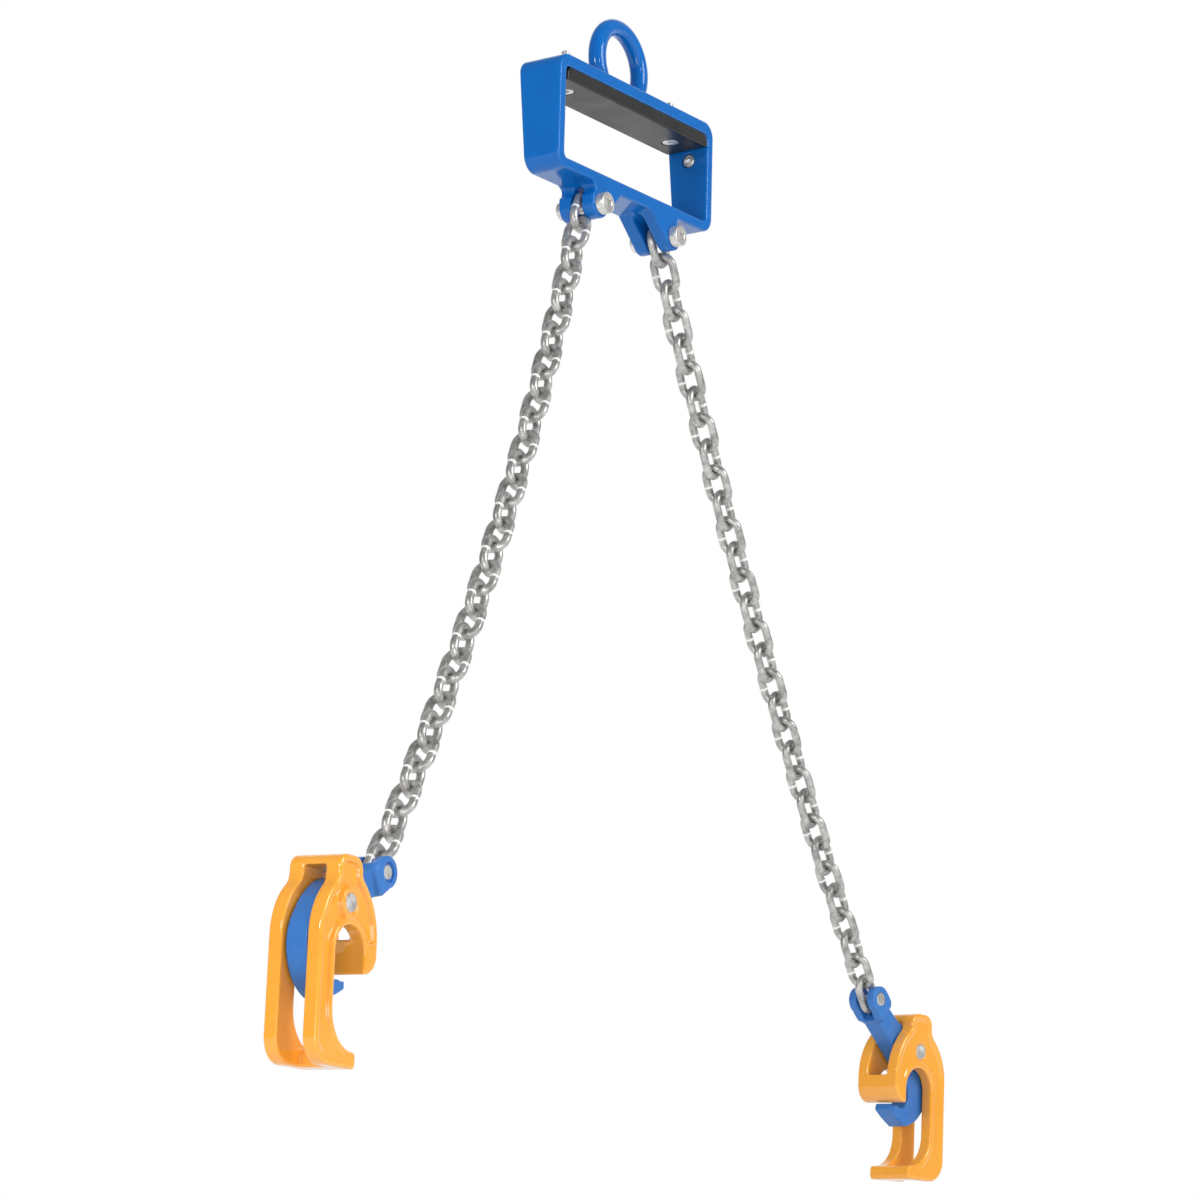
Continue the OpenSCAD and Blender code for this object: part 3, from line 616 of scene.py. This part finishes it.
def build_fasteners():
    """Turned and hexagonal fasteners of the frame, as rings of radius and height turned about an axis: pad
    screws, washers and nuts, the clamp screw with its lock nut, and the shackle bolts with theirs."""
    top = FRAME_TOP + WASHER_T + PAD_NUT_H + PAD_STUB
    screw = lathe([(0, top, 0), (2.4, top, 0), (3, top - 0.6, 0), (3, PAD_BOTTOM + 3, 0),
                   (PAD_HEAD_D / 2 - 0.15, PAD_BOTTOM + 0.25, 0), (PAD_HEAD_D / 2 - 0.4, PAD_BOTTOM, 0),
                   (2.5, PAD_BOTTOM, 0), (2.15, PAD_BOTTOM + 0.3, 1), (2.15, PAD_BOTTOM + 2.2, 1),
                   (0, PAD_BOTTOM + 2.6, 0)])
    screws = [(screw[0] + [side * PAD_SCREW_X, 0, 0], screw[1]) for side in (-1, 1)]
    make_piece("pad_screw_pair", *several(screws), "frame", "steel", BOLT_STEEL, ["pad_screws"], sharp=35)

    rim, inside = WASHER_D / 2, PAD_SCREW_D / 2 + 0.2
    washer = lathe([(inside, 0, 0), (rim - 0.2, 0, 0), (rim, 0.2, 0), (rim, WASHER_T - 0.3, 0),
                    (rim - 0.3, WASHER_T, 0), (inside + 0.2, WASHER_T, 0), (inside, WASHER_T - 0.2, 0),
                    (inside, 0, 0)])
    pair = [(washer[0] + [side * PAD_SCREW_X, 0, FRAME_TOP], washer[1]) for side in (-1, 1)]
    make_piece("pad_washer_pair", *several(pair), "frame", "steel", BOLT_STEEL, ["pad_washers"], sharp=35)

    nut = hex_nut(PAD_NUT_AF, PAD_NUT_H, PAD_SCREW_D / 2 + 0.1)
    pair = [(nut[0] + [side * PAD_SCREW_X, 0, FRAME_TOP + WASHER_T], nut[1]) for side in (-1, 1)]
    make_piece("pad_nut_pair", *several(pair), "frame", "steel", BOLT_STEEL, ["pad_nuts"], sharp=30)

    tip_x, end_x = WINDOW_W / 2, FRAME_HALF + LOCK_NUT_H + CLAMP_TRAVEL
    r, ball, collar = CLAMP_D / 2, TIP_BALL_R, CLAMP_D / 2 + 0.8
    rings = [(ball * math.sin(t), tip_x - 0.6 - ball * math.cos(t), 0) for t in np.linspace(0, 1.9, 12)]
    rings += [(ball - 0.1, tip_x + 0.9, 0), (collar - 1.0, tip_x + 0.5, 0), (collar - 0.5, tip_x + 0.5, 0),
              (collar, tip_x + 1.0, 0), (collar, tip_x + 2.2, 0), (r, tip_x + 2.8, 0)]
    thread = np.arange(tip_x + 4, end_x - 1.2, 0.6)
    rings += [(r - 0.28 * (i % 2), x, 0) for i, x in enumerate(thread)]
    rings += [(r, end_x - 0.6, 0), (r - 0.5, end_x, 0), (CLAMP_SOCKET / 2 + 0.3, end_x, 0),
              (CLAMP_SOCKET / 2, end_x - 0.3, 1), (CLAMP_SOCKET / 2, end_x - 3, 1), (0, end_x - 3.2, 0)]
    points, quads = lathe(rings)
    make_piece("clamp_screw_threaded", placed(points, (0, 0, CLAMP_Z), Y_AXIS, Z_AXIS, X_AXIS), quads,
               "clamp_screw", "steel", BOLT_STEEL, ["fork_clamp_screw"], sharp=35)
    points, quads = hex_nut(LOCK_NUT_AF, LOCK_NUT_H, CLAMP_D / 2 + 0.06)
    make_piece("clamp_lock_nut_hex", placed(points, (FRAME_HALF, 0, CLAMP_Z), Y_AXIS, Z_AXIS, X_AXIS), quads,
               "frame", "steel", BOLT_STEEL, ["clamp_lock_nut"], sharp=30)

    face = BOTTOM_DEPTH / 2
    head, hr, sr = face + BOLT_HEAD_H, BOLT_HEAD_D / 2, BOLT_SOCKET / 2
    end = face + BOLT_NUT_H + 1
    bolt = lathe([(0, -end, 0), (BOLT_D / 2 - 0.8, -end, 0), (BOLT_D / 2, -end + 0.8, 0),
                  (BOLT_D / 2, face, 0), (hr - 0.4, face, 0), (hr, face + 0.4, 0), (hr, head - 1.0, 0),
                  (hr - 0.3, head - 0.3, 0), (hr - 1.0, head, 0), (sr + 1.1, head, 0),
                  (sr + 0.4, head - 0.25, 0), (sr, head - 0.7, 1), (sr, head - 3, 1), (0, head - 3.6, 0)],
                 sides=60)
    bolts = [(placed(bolt[0], (side * LUG_X, 0, BOLT_Z), X_AXIS, Z_AXIS, -Y_AXIS), bolt[1])
             for side in (-1, 1)]
    make_piece("shackle_bolt_pair", *several(bolts), "frame", "steel", BOLT_STEEL, ["shackle_bolts"],
               sharp=35)
    nr, bore = BOLT_NUT_D / 2, BOLT_D / 2 + 0.1
    nut = lathe([(bore, face, 0), (nr - 0.4, face, 0), (nr, face + 0.4, 0), (nr, face + BOLT_NUT_H - 0.8, 0),
                 (nr - 0.8, face + BOLT_NUT_H, 0), (bore + 0.3, face + BOLT_NUT_H, 0),
                 (bore, face + BOLT_NUT_H - 0.3, 0), (bore, face, 0)])
    nuts = [(placed(nut[0], (side * LUG_X, 0, BOLT_Z), X_AXIS, -Z_AXIS, Y_AXIS), nut[1]) for side in (-1, 1)]
    make_piece("shackle_nut_pair", *several(nuts), "frame", "steel", BOLT_STEEL, ["shackle_nuts"], sharp=35)


def hex_nut(flats, height, bore):
    """A nut standing on z = 0: six flats with turned chamfers at both ends and a bore."""
    a, c = flats / 2, 0.45
    return lathe([(bore, 0, 0), (a * 0.97, 0, 0), (a, c, 1), (a, height - c, 1), (a * 0.97, height, 0),
                  (bore + 0.4, height, 0), (bore, height - 0.4, 0), (bore, 0, 0)])


# Chains
def chain_places(side):
    """Centres, directions and plane normals of a chain's links: the slant grows evenly along the chain,
    and each centre lies half a pitch along both neighbours' directions from the one before."""
    sign = SIDES[side]
    share = np.arange(LINKS) / (LINKS - 1)
    slant = np.radians(SLANT[side][0] + (SLANT[side][1] - SLANT[side][0]) * share)
    lean = np.radians(np.where(share > 0, LEAN[side], 0.0))
    along = np.stack([sign * np.sin(slant) * np.cos(lean), np.sin(lean), -np.cos(slant) * np.cos(lean)], 1)
    yaw, roll = np.radians(YAW[side]) * share, np.radians(CLAMP_ROLL) * share
    normal = np.stack([np.sin(yaw) * np.cos(roll), np.cos(yaw) * np.cos(roll), np.sin(roll)], 1)
    normal -= (normal * along).sum(1, keepdims=True) * along
    normal /= np.linalg.norm(normal, axis=1, keepdims=True)
    first = np.array([sign * LUG_X, 0, BOLT_Z]) + (INNER_LEN / 2 - BOLT_D / 2 - LINK_GAP) * along[0]
    steps = PITCH / 2 * (along[:-1] + along[1:])
    centres = np.concatenate([first[None], first + np.cumsum(steps, 0)])
    return centres, along, normal


def link_surface():
    """One welded link in the x-z plane: a round bar carried along two legs and two half circles, with a
    weld bead round one leg. Returns its points, quads and a mask over the weld bead for its painted
    highlight."""
    straight = np.linspace(-LEG, LEG, LEG_STEPS + 1)[:-1]
    bend = np.linspace(0, np.pi, BEND_STEPS + 1)[:-1]
    one, zero = np.full(LEG_STEPS, CROWN_R), np.zeros(LEG_STEPS)
    x = np.concatenate([one, CROWN_R * np.cos(bend), -one, -CROWN_R * np.cos(bend)])
    z = np.concatenate([straight, LEG + CROWN_R * np.sin(bend), -straight, -LEG - CROWN_R * np.sin(bend)])
    out = np.concatenate([zero, bend, zero + np.pi, bend + np.pi])
    around = np.linspace(0, 2 * np.pi, WIRE_SIDES, endpoint=False)
    weld_and_highlight = np.exp(-((z - WELD_AT) / WELD_HALF) ** 2) * (x > CROWN_R - 1e-6)
    radius = WIRE / 2 + WELD_RISE * weld_and_highlight
    o, a = np.meshgrid(out, around, indexing="ij")
    r = radius[:, None]
    points = np.stack([x[:, None] + r * np.cos(a) * np.cos(o), r * np.sin(a),
                       z[:, None] + r * np.cos(a) * np.sin(o)], -1)
    # Mask of the painted highlight band over the weld bead, on every point round the wire
    weld_highlight = np.repeat(np.clip(WELD_HIGHLIGHT_SHARPNESS * weld_and_highlight, 0, 1), len(around))
    return points.reshape(-1, 3), net(len(x), len(around), True, True), weld_highlight


def build_chains():
    """Both chains: odd links in the clamp's plane and even links across it, two links to a piece."""
    points, quads, weld_highlight = link_surface()
    for side, sign in SIDES.items():
        centres, along, normal = chain_places(side)
        sideways = np.cross(normal, along)
        links = []
        for k in range(LINKS):
            across, depth = (sideways[k], normal[k]) if k % 2 == 0 else (normal[k], -sideways[k])
            flip = -1.0 if (k % 2 == 0) == (sign > 0) else 1.0
            links.append(placed(points * [flip, flip, 1], centres[k], across, depth, along[k]))
        for i in range(0, LINKS, 2):
            pair = links[i:i + 2]
            number = i // 2 + 1
            # Each piece carries the mask of the painted weld highlight
            make_piece(f"{side}_links_{number}", *several([(p, quads) for p in pair]),
                       f"{side}_chain_{(number + 1) // 2}", "steel", CHAIN_STEEL, [f"{side}_chain_{number}"],
                       masks={"weld_highlight": np.tile(weld_highlight, len(pair))})


# Clamps
def clamp_axes(side):
    """A clamp's level direction from its back to its mouth, its up direction and its pivot's place."""
    sign, yaw, roll = SIDES[side], math.radians(YAW[side]), math.radians(CLAMP_ROLL)
    pins = np.array([math.sin(yaw) * math.cos(roll), math.cos(yaw) * math.cos(roll), math.sin(roll)])
    mouth = -sign * np.array([math.cos(yaw), -math.sin(yaw), 0.0])
    up = np.cross(-sign * mouth, pins)
    centres, along, _ = chain_places(side)
    end = centres[-1] + (INNER_LEN / 2 - CHAIN_PIN_D / 2 - SEAT_PLAY) * along[-1]
    tilt = math.radians(LEVER_ANGLE[side])
    return mouth, up, end - LEVER_LEN * (math.cos(tilt) * mouth + math.sin(tilt) * up)


def at_pivot(points, side, angle):
    """Points of a clamp shape, x to the mouth, y up and z along the pins, turned by an angle about
    its pivot."""
    mouth, up, pivot = clamp_axes(side)
    a = math.radians(angle)
    x = math.cos(a) * mouth + math.sin(a) * up
    y = math.cos(a) * up - math.sin(a) * mouth
    return placed(points, pivot, x, y, np.cross(x, y))


def arc(cx, cy, r, start, end, count=24):
    """Points of a circle's arc from one angle to another, in degrees."""
    t = np.radians(np.linspace(start, end, count))
    return np.stack([cx + r * np.cos(t), cy + r * np.sin(t)], 1)


def jaw_outline():
    """The side plate's outline as one closed line of arcs: head, shoulders, nose, mouth, lip, foot
    and back."""
    foot_r, lip_fillet, back_r, front_r, nose_r, tip_r, head_r, arc_z = 17, 26, 42.5, 47.5, 13, 3, 9, -22
    back_u, front_u = LIMB_BACK + back_r, NOSE_FRONT - front_r
    left_r, right_r = 11.0, 7.0
    left_u, right_u = -HEAD_HALF - left_r, HEAD_HALF + right_r
    left_w = arc_z + math.sqrt((back_r + left_r) ** 2 - (left_u - back_u) ** 2)
    right_w = arc_z + math.sqrt((front_r + right_r) ** 2 - (right_u - front_u) ** 2)
    left_a = math.degrees(math.atan2(left_w - arc_z, left_u - back_u))
    right_a = math.degrees(math.atan2(right_w - arc_z, right_u - front_u))
    mouth_w = MOUTH_TOP - MOUTH_W / 2
    return np.concatenate([
        arc(-HEAD_HALF + head_r, JAW_TOP - head_r, head_r, 180, 90),
        arc(HEAD_HALF - head_r, JAW_TOP - head_r, head_r, 90, 0),
        arc(right_u, right_w, right_r, 180, 180 + right_a),
        arc(front_u, arc_z, front_r, right_a, 0),
        arc(NOSE_FRONT - nose_r, -NOSE_DROP + nose_r, nose_r, 0, -90),
        arc(MOUTH_FRONT + 1, -NOSE_DROP + 1, 1, -90, -180, 6),
        arc(MOUTH_SHIFT, mouth_w, MOUTH_W / 2, 0, 180, 40),
        arc(MOUTH_BACK + lip_fillet, LIP_TOP + lip_fillet, lip_fillet, 180, 270),
        arc(LIP_REACH - tip_r, LIP_TOP - tip_r, tip_r, 90, 0, 8),
        arc(LIP_REACH - tip_r, -JAW_DROP + tip_r, tip_r, 0, -90, 8),
        arc(LIMB_BACK + foot_r, -JAW_DROP + foot_r, foot_r, 270, 180),
        arc(back_u, arc_z, back_r, 180, left_a),
        arc(left_u, left_w, left_r, left_a - 180, 0)])


JAW_LOW, JAW_HIGH = (-36, -106), (38, 34)
jaw_map = OutlineMap(lambda u, w: polygon(u, w, jaw_outline()), JAW_LOW, JAW_HIGH, 0.3)


def jaw_field(u, w, z):
    """A jaw: the plate outline through both plates, a slot between them that leaves the top bridge, the nose
    and the lip, a sunk panel inside a raised rim on each outer face, deep with a boss round the pivot on one
    and shallow on the other."""
    edge = jaw_map(u, w)
    reach = np.hypot(u, w)
    far = 2 * JAW_DROP
    shown = z > 0
    ends = np.where(w < PANEL_FOOT, u - PANEL_TOE,
                    np.where(u > MOUTH_SHIFT, NOSE_TOP - PANEL_NOSE_GAP - w, -far))
    panel = np.maximum.reduce([edge + RIM_W, np.where(shown, BOSS_R - reach, edge), ends])
    slope = np.clip(0.5 - panel / np.where(shown, WALL_DEEP, WALL_SHALLOW), 0, 1)
    fade = np.clip((w + JAW_DROP - PANEL_FADE_AT) / PANEL_FADE, 0, 1)
    sink = np.where(shown, PANEL_DEEP, PANEL_SHALLOW) * fade * slope * slope * (3 - 2 * slope)
    body = common(edge, np.abs(z) - JAW_HALF + sink, JAW_EDGE_R)
    nose_back = MOUTH_FRONT - 6
    slot_corners = [[-far, -far], [-5, -far], [-5, LIP_TOP], [nose_back, LIP_TOP], [nose_back, NOSE_TOP],
                    [far, NOSE_TOP], [far, BAR_BOTTOM], [-far, BAR_BOTTOM]]
    room = JAW_SLOT / 2 - BRIDGE_NARROWING * np.clip((w - BRIDGE_FROM) / BRIDGE_RUN, 0, 1)
    slot = common(polygon(u, w, slot_corners), np.abs(z) - room, JAW_SLOT_CORNER_R)
    body = cut(body, slot, JAW_SLOT_EDGE_R)
    ring = common(reach - PIVOT_D / 2 - 3.8, z - JAW_HALF - RING_H, 0.7)
    ring = np.maximum(ring, JAW_SLOT / 2 + 1 - z)
    body = joined(body, ring, 1.2)
    face = np.where(shown, JAW_HALF + RING_H, JAW_HALF - PANEL_SHALLOW)
    dimple = np.maximum(reach - PIVOT_D / 2 - 0.7, face - 1.0 - np.abs(z))
    return cut(body, dimple, 0.3)


def cam_outline(u, w):
    """The cam lever's web seen along its pins: round back with a hump over the pivot, hooked front,
    beak, hub and square neck."""
    beak = [[0, 14], [-50, 14], [-50, -50.8], [-32.4, -50.8], [-18.5, -53.2], [-8.6, -53.4], [-6.8, -48.9],
            [-9.5, -47.9], [-13.3, -45.2], [-19.3, -43], [-20.9, -41.4], [-21.6, -39.3], [-22.3, -36.2],
            [-22.2, -32.6], [-20.6, -29.3], [-16.5, -25.6], [-11, -22.4], [0, -NECK_W / 2]]
    cam = np.maximum(disc(u, w, -8, -26, CAM_R), polygon(u, w, beak))
    hump = polygon(u, w, [[-26, 2], [-20, 6.9], [-14.7, 9.6], [-6, 12.3], [2, 13.6], [8, 13.6], [14, 12.3],
                          [20, 10.2], [25, 7.4], [30, 6.8], [30, -10], [-26, -10]])
    neck = polygon(u, w, [[0, -13.5], [SHOULDER + 3, -11], [SHOULDER + 3, 6.8], [0, 6.8]])
    return np.minimum(joined(np.minimum(cam, hump), disc(u, w, 0, 0, HUB_R), 1.5), neck)


cam_map = OutlineMap(cam_outline, (-48, -62), (78, 18), 0.3)


def lever_field(u, w, z):
    """A cam lever: its web at cam thickness, a rounded fork across its end, the chain's gap, a counterbore
    for the pin in one cheek and a flush seat for its head in the other."""
    web = common(cam_map(u, w), np.abs(z) - CAM_T / 2, LEVER_EDGE_R)
    flank = polygon(u, w, [[47.5, -9.6], [50, -11], [FLANK_END, -9.4], [FLANK_END, 8.9], [50, 8.6],
                           [47.2, 6]]) - 1.2
    end = np.minimum(disc(u, w, LEVER_LEN, 0, FORK_R), flank)
    soft = FORK_EDGE_R + FLANK_SOFTNESS * np.clip((FLANK_END - u) / FLANK_RUN, 0, 1)
    body = joined(web, common(end, np.abs(z) - FORK_W / 2, soft), FORK_JOIN_R)
    crotch = LEVER_LEN - WIRE - CHAIN_PIN_D / 2 - SEAT_PLAY - 1.1 + 0.25 * np.clip(w - 2.5, 0, 9)
    body = cut(body, np.maximum(crotch - u, np.abs(z) - FORK_GAP / 2), GAP_EDGE_R)
    reach = np.hypot(u - LEVER_LEN, w)
    bore = np.where(z > 0, COUNTERBORE_D / 2, CHAIN_RIVET_D / 2 + 0.5)
    floor = FORK_W / 2 - np.where(z > 0, COUNTERBORE_DEPTH, 1.2)
    return cut(body, np.maximum(reach - bore, floor - np.abs(z)), 0.4)


def build_clamps():
    """Both clamps: each jaw and cam lever is the same casting, set at its own angle, with its two pins."""
    jaw_points, jaw_quads = skin(jaw_field, JAW_LOW + (-23,), JAW_HIGH + (23,), JAW_GRID)
    lever_points, lever_quads = skin(lever_field, (-47, -62, -15), (75, 17, 15), LEVER_GRID)
    half = JAW_HALF + RING_H
    r = PIVOT_D / 2
    back = JAW_HALF - 1.1
    pivot = lathe([(0, -back + 0.35, 0), (r * 0.45, -back + 0.3, 0), (r * 0.62, -back, 0),
                   (r - 0.5, -back, 0), (r, -back + 0.5, 0), (r, half - 0.5, 0), (r - 0.5, half, 0),
                   (r * 0.62, half, 0), (r * 0.45, half - 0.3, 0), (0, half - 0.35, 0)])
    h, c, k = FORK_W / 2, CHAIN_PIN_D / 2, CHAIN_RIVET_D / 2
    top = h - 1.0
    pin = lathe([(0, -h + 0.1, 0), (k * 0.6, -h + 0.1, 0), (k - 0.7, -h + 0.2, 0), (k - 0.2, -h + 0.7, 0),
                 (k - 0.2, -h + 1.5, 0), (c, -h + 1.5, 0), (c, h - COUNTERBORE_DEPTH - 0.4, 0),
                 (c + 0.8, h - COUNTERBORE_DEPTH - 0.4, 0), (c + 0.8, top - 0.5, 0), (c + 0.3, top, 0),
                 (c * 0.6, top, 0), (c * 0.5, top - 0.4, 0), (0, top - 0.5, 0)])
    for side in SIDES:
        jaw_angle, lever_angle = -JAW_TILT[side], LEVER_ANGLE[side]
        jaw_body, lever_body = f"{side}_clamp_jaw", f"{side}_lever"
        make_piece(f"{side}_jaw_casting", at_pivot(jaw_points, side, jaw_angle), jaw_quads, jaw_body,
                   "jaw_paint", JAW_AMBER, [f"{side}_jaw"])
        make_piece(f"{side}_pivot_rivet", at_pivot(pivot[0], side, jaw_angle), pivot[1], jaw_body,
                   "steel", BOLT_STEEL, [f"{side}_pivot_pin"], sharp=35)
        make_piece(f"{side}_lever_forging", at_pivot(lever_points, side, lever_angle), lever_quads,
                   lever_body, "lever_paint", LEVER_BLUE, [f"{side}_cam_lever"])
        make_piece(f"{side}_chain_rivet", at_pivot(pin[0] + [LEVER_LEN, 0, 0], side, lever_angle), pin[1],
                   lever_body, "steel", BOLT_STEEL, [f"{side}_chain_pin"], sharp=35)


# Studio
ROOM_LIGHT, DIM_ROOM = 0.58, 0.18
BACKDROP, BACKDROP_EDGE, BACKDROP_FULL = (0.845, 0.534, 0.0), 0.45, 0.7
FLOOR_Z, FLOOR_HALF, MIRRORED_FLOOR = -1.2, 12.0, 0.95
MIDDLE, LEFT_CLAMP = (0.0, 0.0, -0.5), (-0.4, 0.0, -0.7)


def soft_box(name, place, target, size, power):
    """A square area lamp at a place, turned to a target."""
    data = bpy.data.lights.new(name, "AREA")
    data.shape, data.size, data.energy = "SQUARE", size, power
    lamp = bpy.data.objects.new(name, data)
    bpy.context.scene.collection.objects.link(lamp)
    look = np.asarray(place, float) - np.asarray(target, float)
    look /= np.linalg.norm(look)
    side = np.cross([0, 0, 1.0], look)
    side /= np.linalg.norm(side)
    turn = np.eye(4)
    turn[:3, 0], turn[:3, 1], turn[:3, 2], turn[:3, 3] = side, np.cross(look, side), look, place
    lamp.matrix_world = Matrix(turn.tolist())


def build_studio():
    """Even room with four soft boxes. Camera and glass rays see it white, and mirror rays see a white
    backdrop behind the object, a white floor and a dimmer room in front."""
    world = bpy.data.worlds.new("studio")
    bpy.context.scene.world = world
    world.use_nodes = True
    tree = world.node_tree
    tree.nodes.clear()
    out = tree.nodes.new("ShaderNodeOutputWorld")
    rays = tree.nodes.new("ShaderNodeLightPath")
    room = add(tree, "ShaderNodeBackground", in_Color=(1, 1, 1, 1), in_Strength=ROOM_LIGHT)
    dim = add(tree, "ShaderNodeBackground", in_Color=(1, 1, 1, 1), in_Strength=DIM_ROOM)
    white = add(tree, "ShaderNodeBackground", in_Color=(1, 1, 1, 1), in_Strength=1.0)
    seen = add(tree, "ShaderNodeMath", operation="MAXIMUM")
    tree.links.new(rays.outputs["Is Camera Ray"], seen.inputs[0])
    tree.links.new(rays.outputs["Is Transmission Ray"], seen.inputs[1])
    direction = tree.nodes.new("ShaderNodeTexCoord")
    facing = add(tree, "ShaderNodeVectorMath", operation="DOT_PRODUCT")
    tree.links.new(direction.outputs["Generated"], facing.inputs[0])
    facing.inputs[1].default_value = BACKDROP
    behind = add(tree, "ShaderNodeMapRange", in_From_Min=BACKDROP_EDGE, in_From_Max=BACKDROP_FULL)
    tree.links.new(facing.outputs["Value"], behind.inputs["Value"])
    around, mirrored, shown = (tree.nodes.new("ShaderNodeMixShader") for _ in range(3))
    for mixed, factor, first, second in ((around, behind.outputs["Result"], dim, white),
                                         (mirrored, rays.outputs["Is Glossy Ray"], room, around),
                                         (shown, seen.outputs[0], mirrored, white)):
        tree.links.new(factor, mixed.inputs["Fac"])
        tree.links.new(first.outputs[0], mixed.inputs[1])
        tree.links.new(second.outputs[0], mixed.inputs[2])
    tree.links.new(shown.outputs[0], out.inputs["Surface"])

    soft_box("front_box", (0.4, -3.0, 0.9), MIDDLE, size=1.4, power=50)
    soft_box("side_box", (-3.0, 0.05, 0.2), MIDDLE, size=0.6, power=20)
    soft_box("edge_box", (-1.9, -3.0, 0.4), MIDDLE, size=0.5, power=5)
    soft_box("low_box", (-1.6, -0.9, -1.0), LEFT_CLAMP, size=0.8, power=7)

    corners = [(x * FLOOR_HALF, y * FLOOR_HALF, FLOOR_Z) for x, y in ((-1, -1), (1, -1), (1, 1), (-1, 1))]
    floor_mesh = bpy.data.meshes.new("studio_floor")
    floor_mesh.from_pydata(corners, [], [(0, 1, 2, 3)])
    floor = bpy.data.objects.new("studio_floor", floor_mesh)
    bpy.context.scene.collection.objects.link(floor)
    material, tree, shader, place = new_material("pale_floor")
    cloud = add(tree, "ShaderNodeTexNoise", in_Scale=3.0, in_Detail=3.0)
    tree.links.new(place, cloud.inputs["Vector"])
    tree.links.new(mix_colours(tree, cloud.outputs["Fac"], linear(236, 236, 234), linear(244, 244, 243)),
                   shader.inputs["Base Color"])
    shader.inputs["Roughness"].default_value = 0.7
    rays = tree.nodes.new("ShaderNodeLightPath")
    glow = add(tree, "ShaderNodeEmission", in_Color=(1, 1, 1, 1), in_Strength=MIRRORED_FLOOR)
    mirrored = tree.nodes.new("ShaderNodeMixShader")
    tree.links.new(rays.outputs["Is Glossy Ray"], mirrored.inputs["Fac"])
    tree.links.new(shader.outputs["BSDF"], mirrored.inputs[1])
    tree.links.new(glow.outputs[0], mirrored.inputs[2])
    tree.links.new(mirrored.outputs[0], tree.nodes["Material Output"].inputs["Surface"])
    floor_mesh.materials.append(material)


bpy.context.scene.view_settings.view_transform = "Standard"
aim_camera()
build_studio()
build_frame()
build_fasteners()
build_chains()
build_clamps()
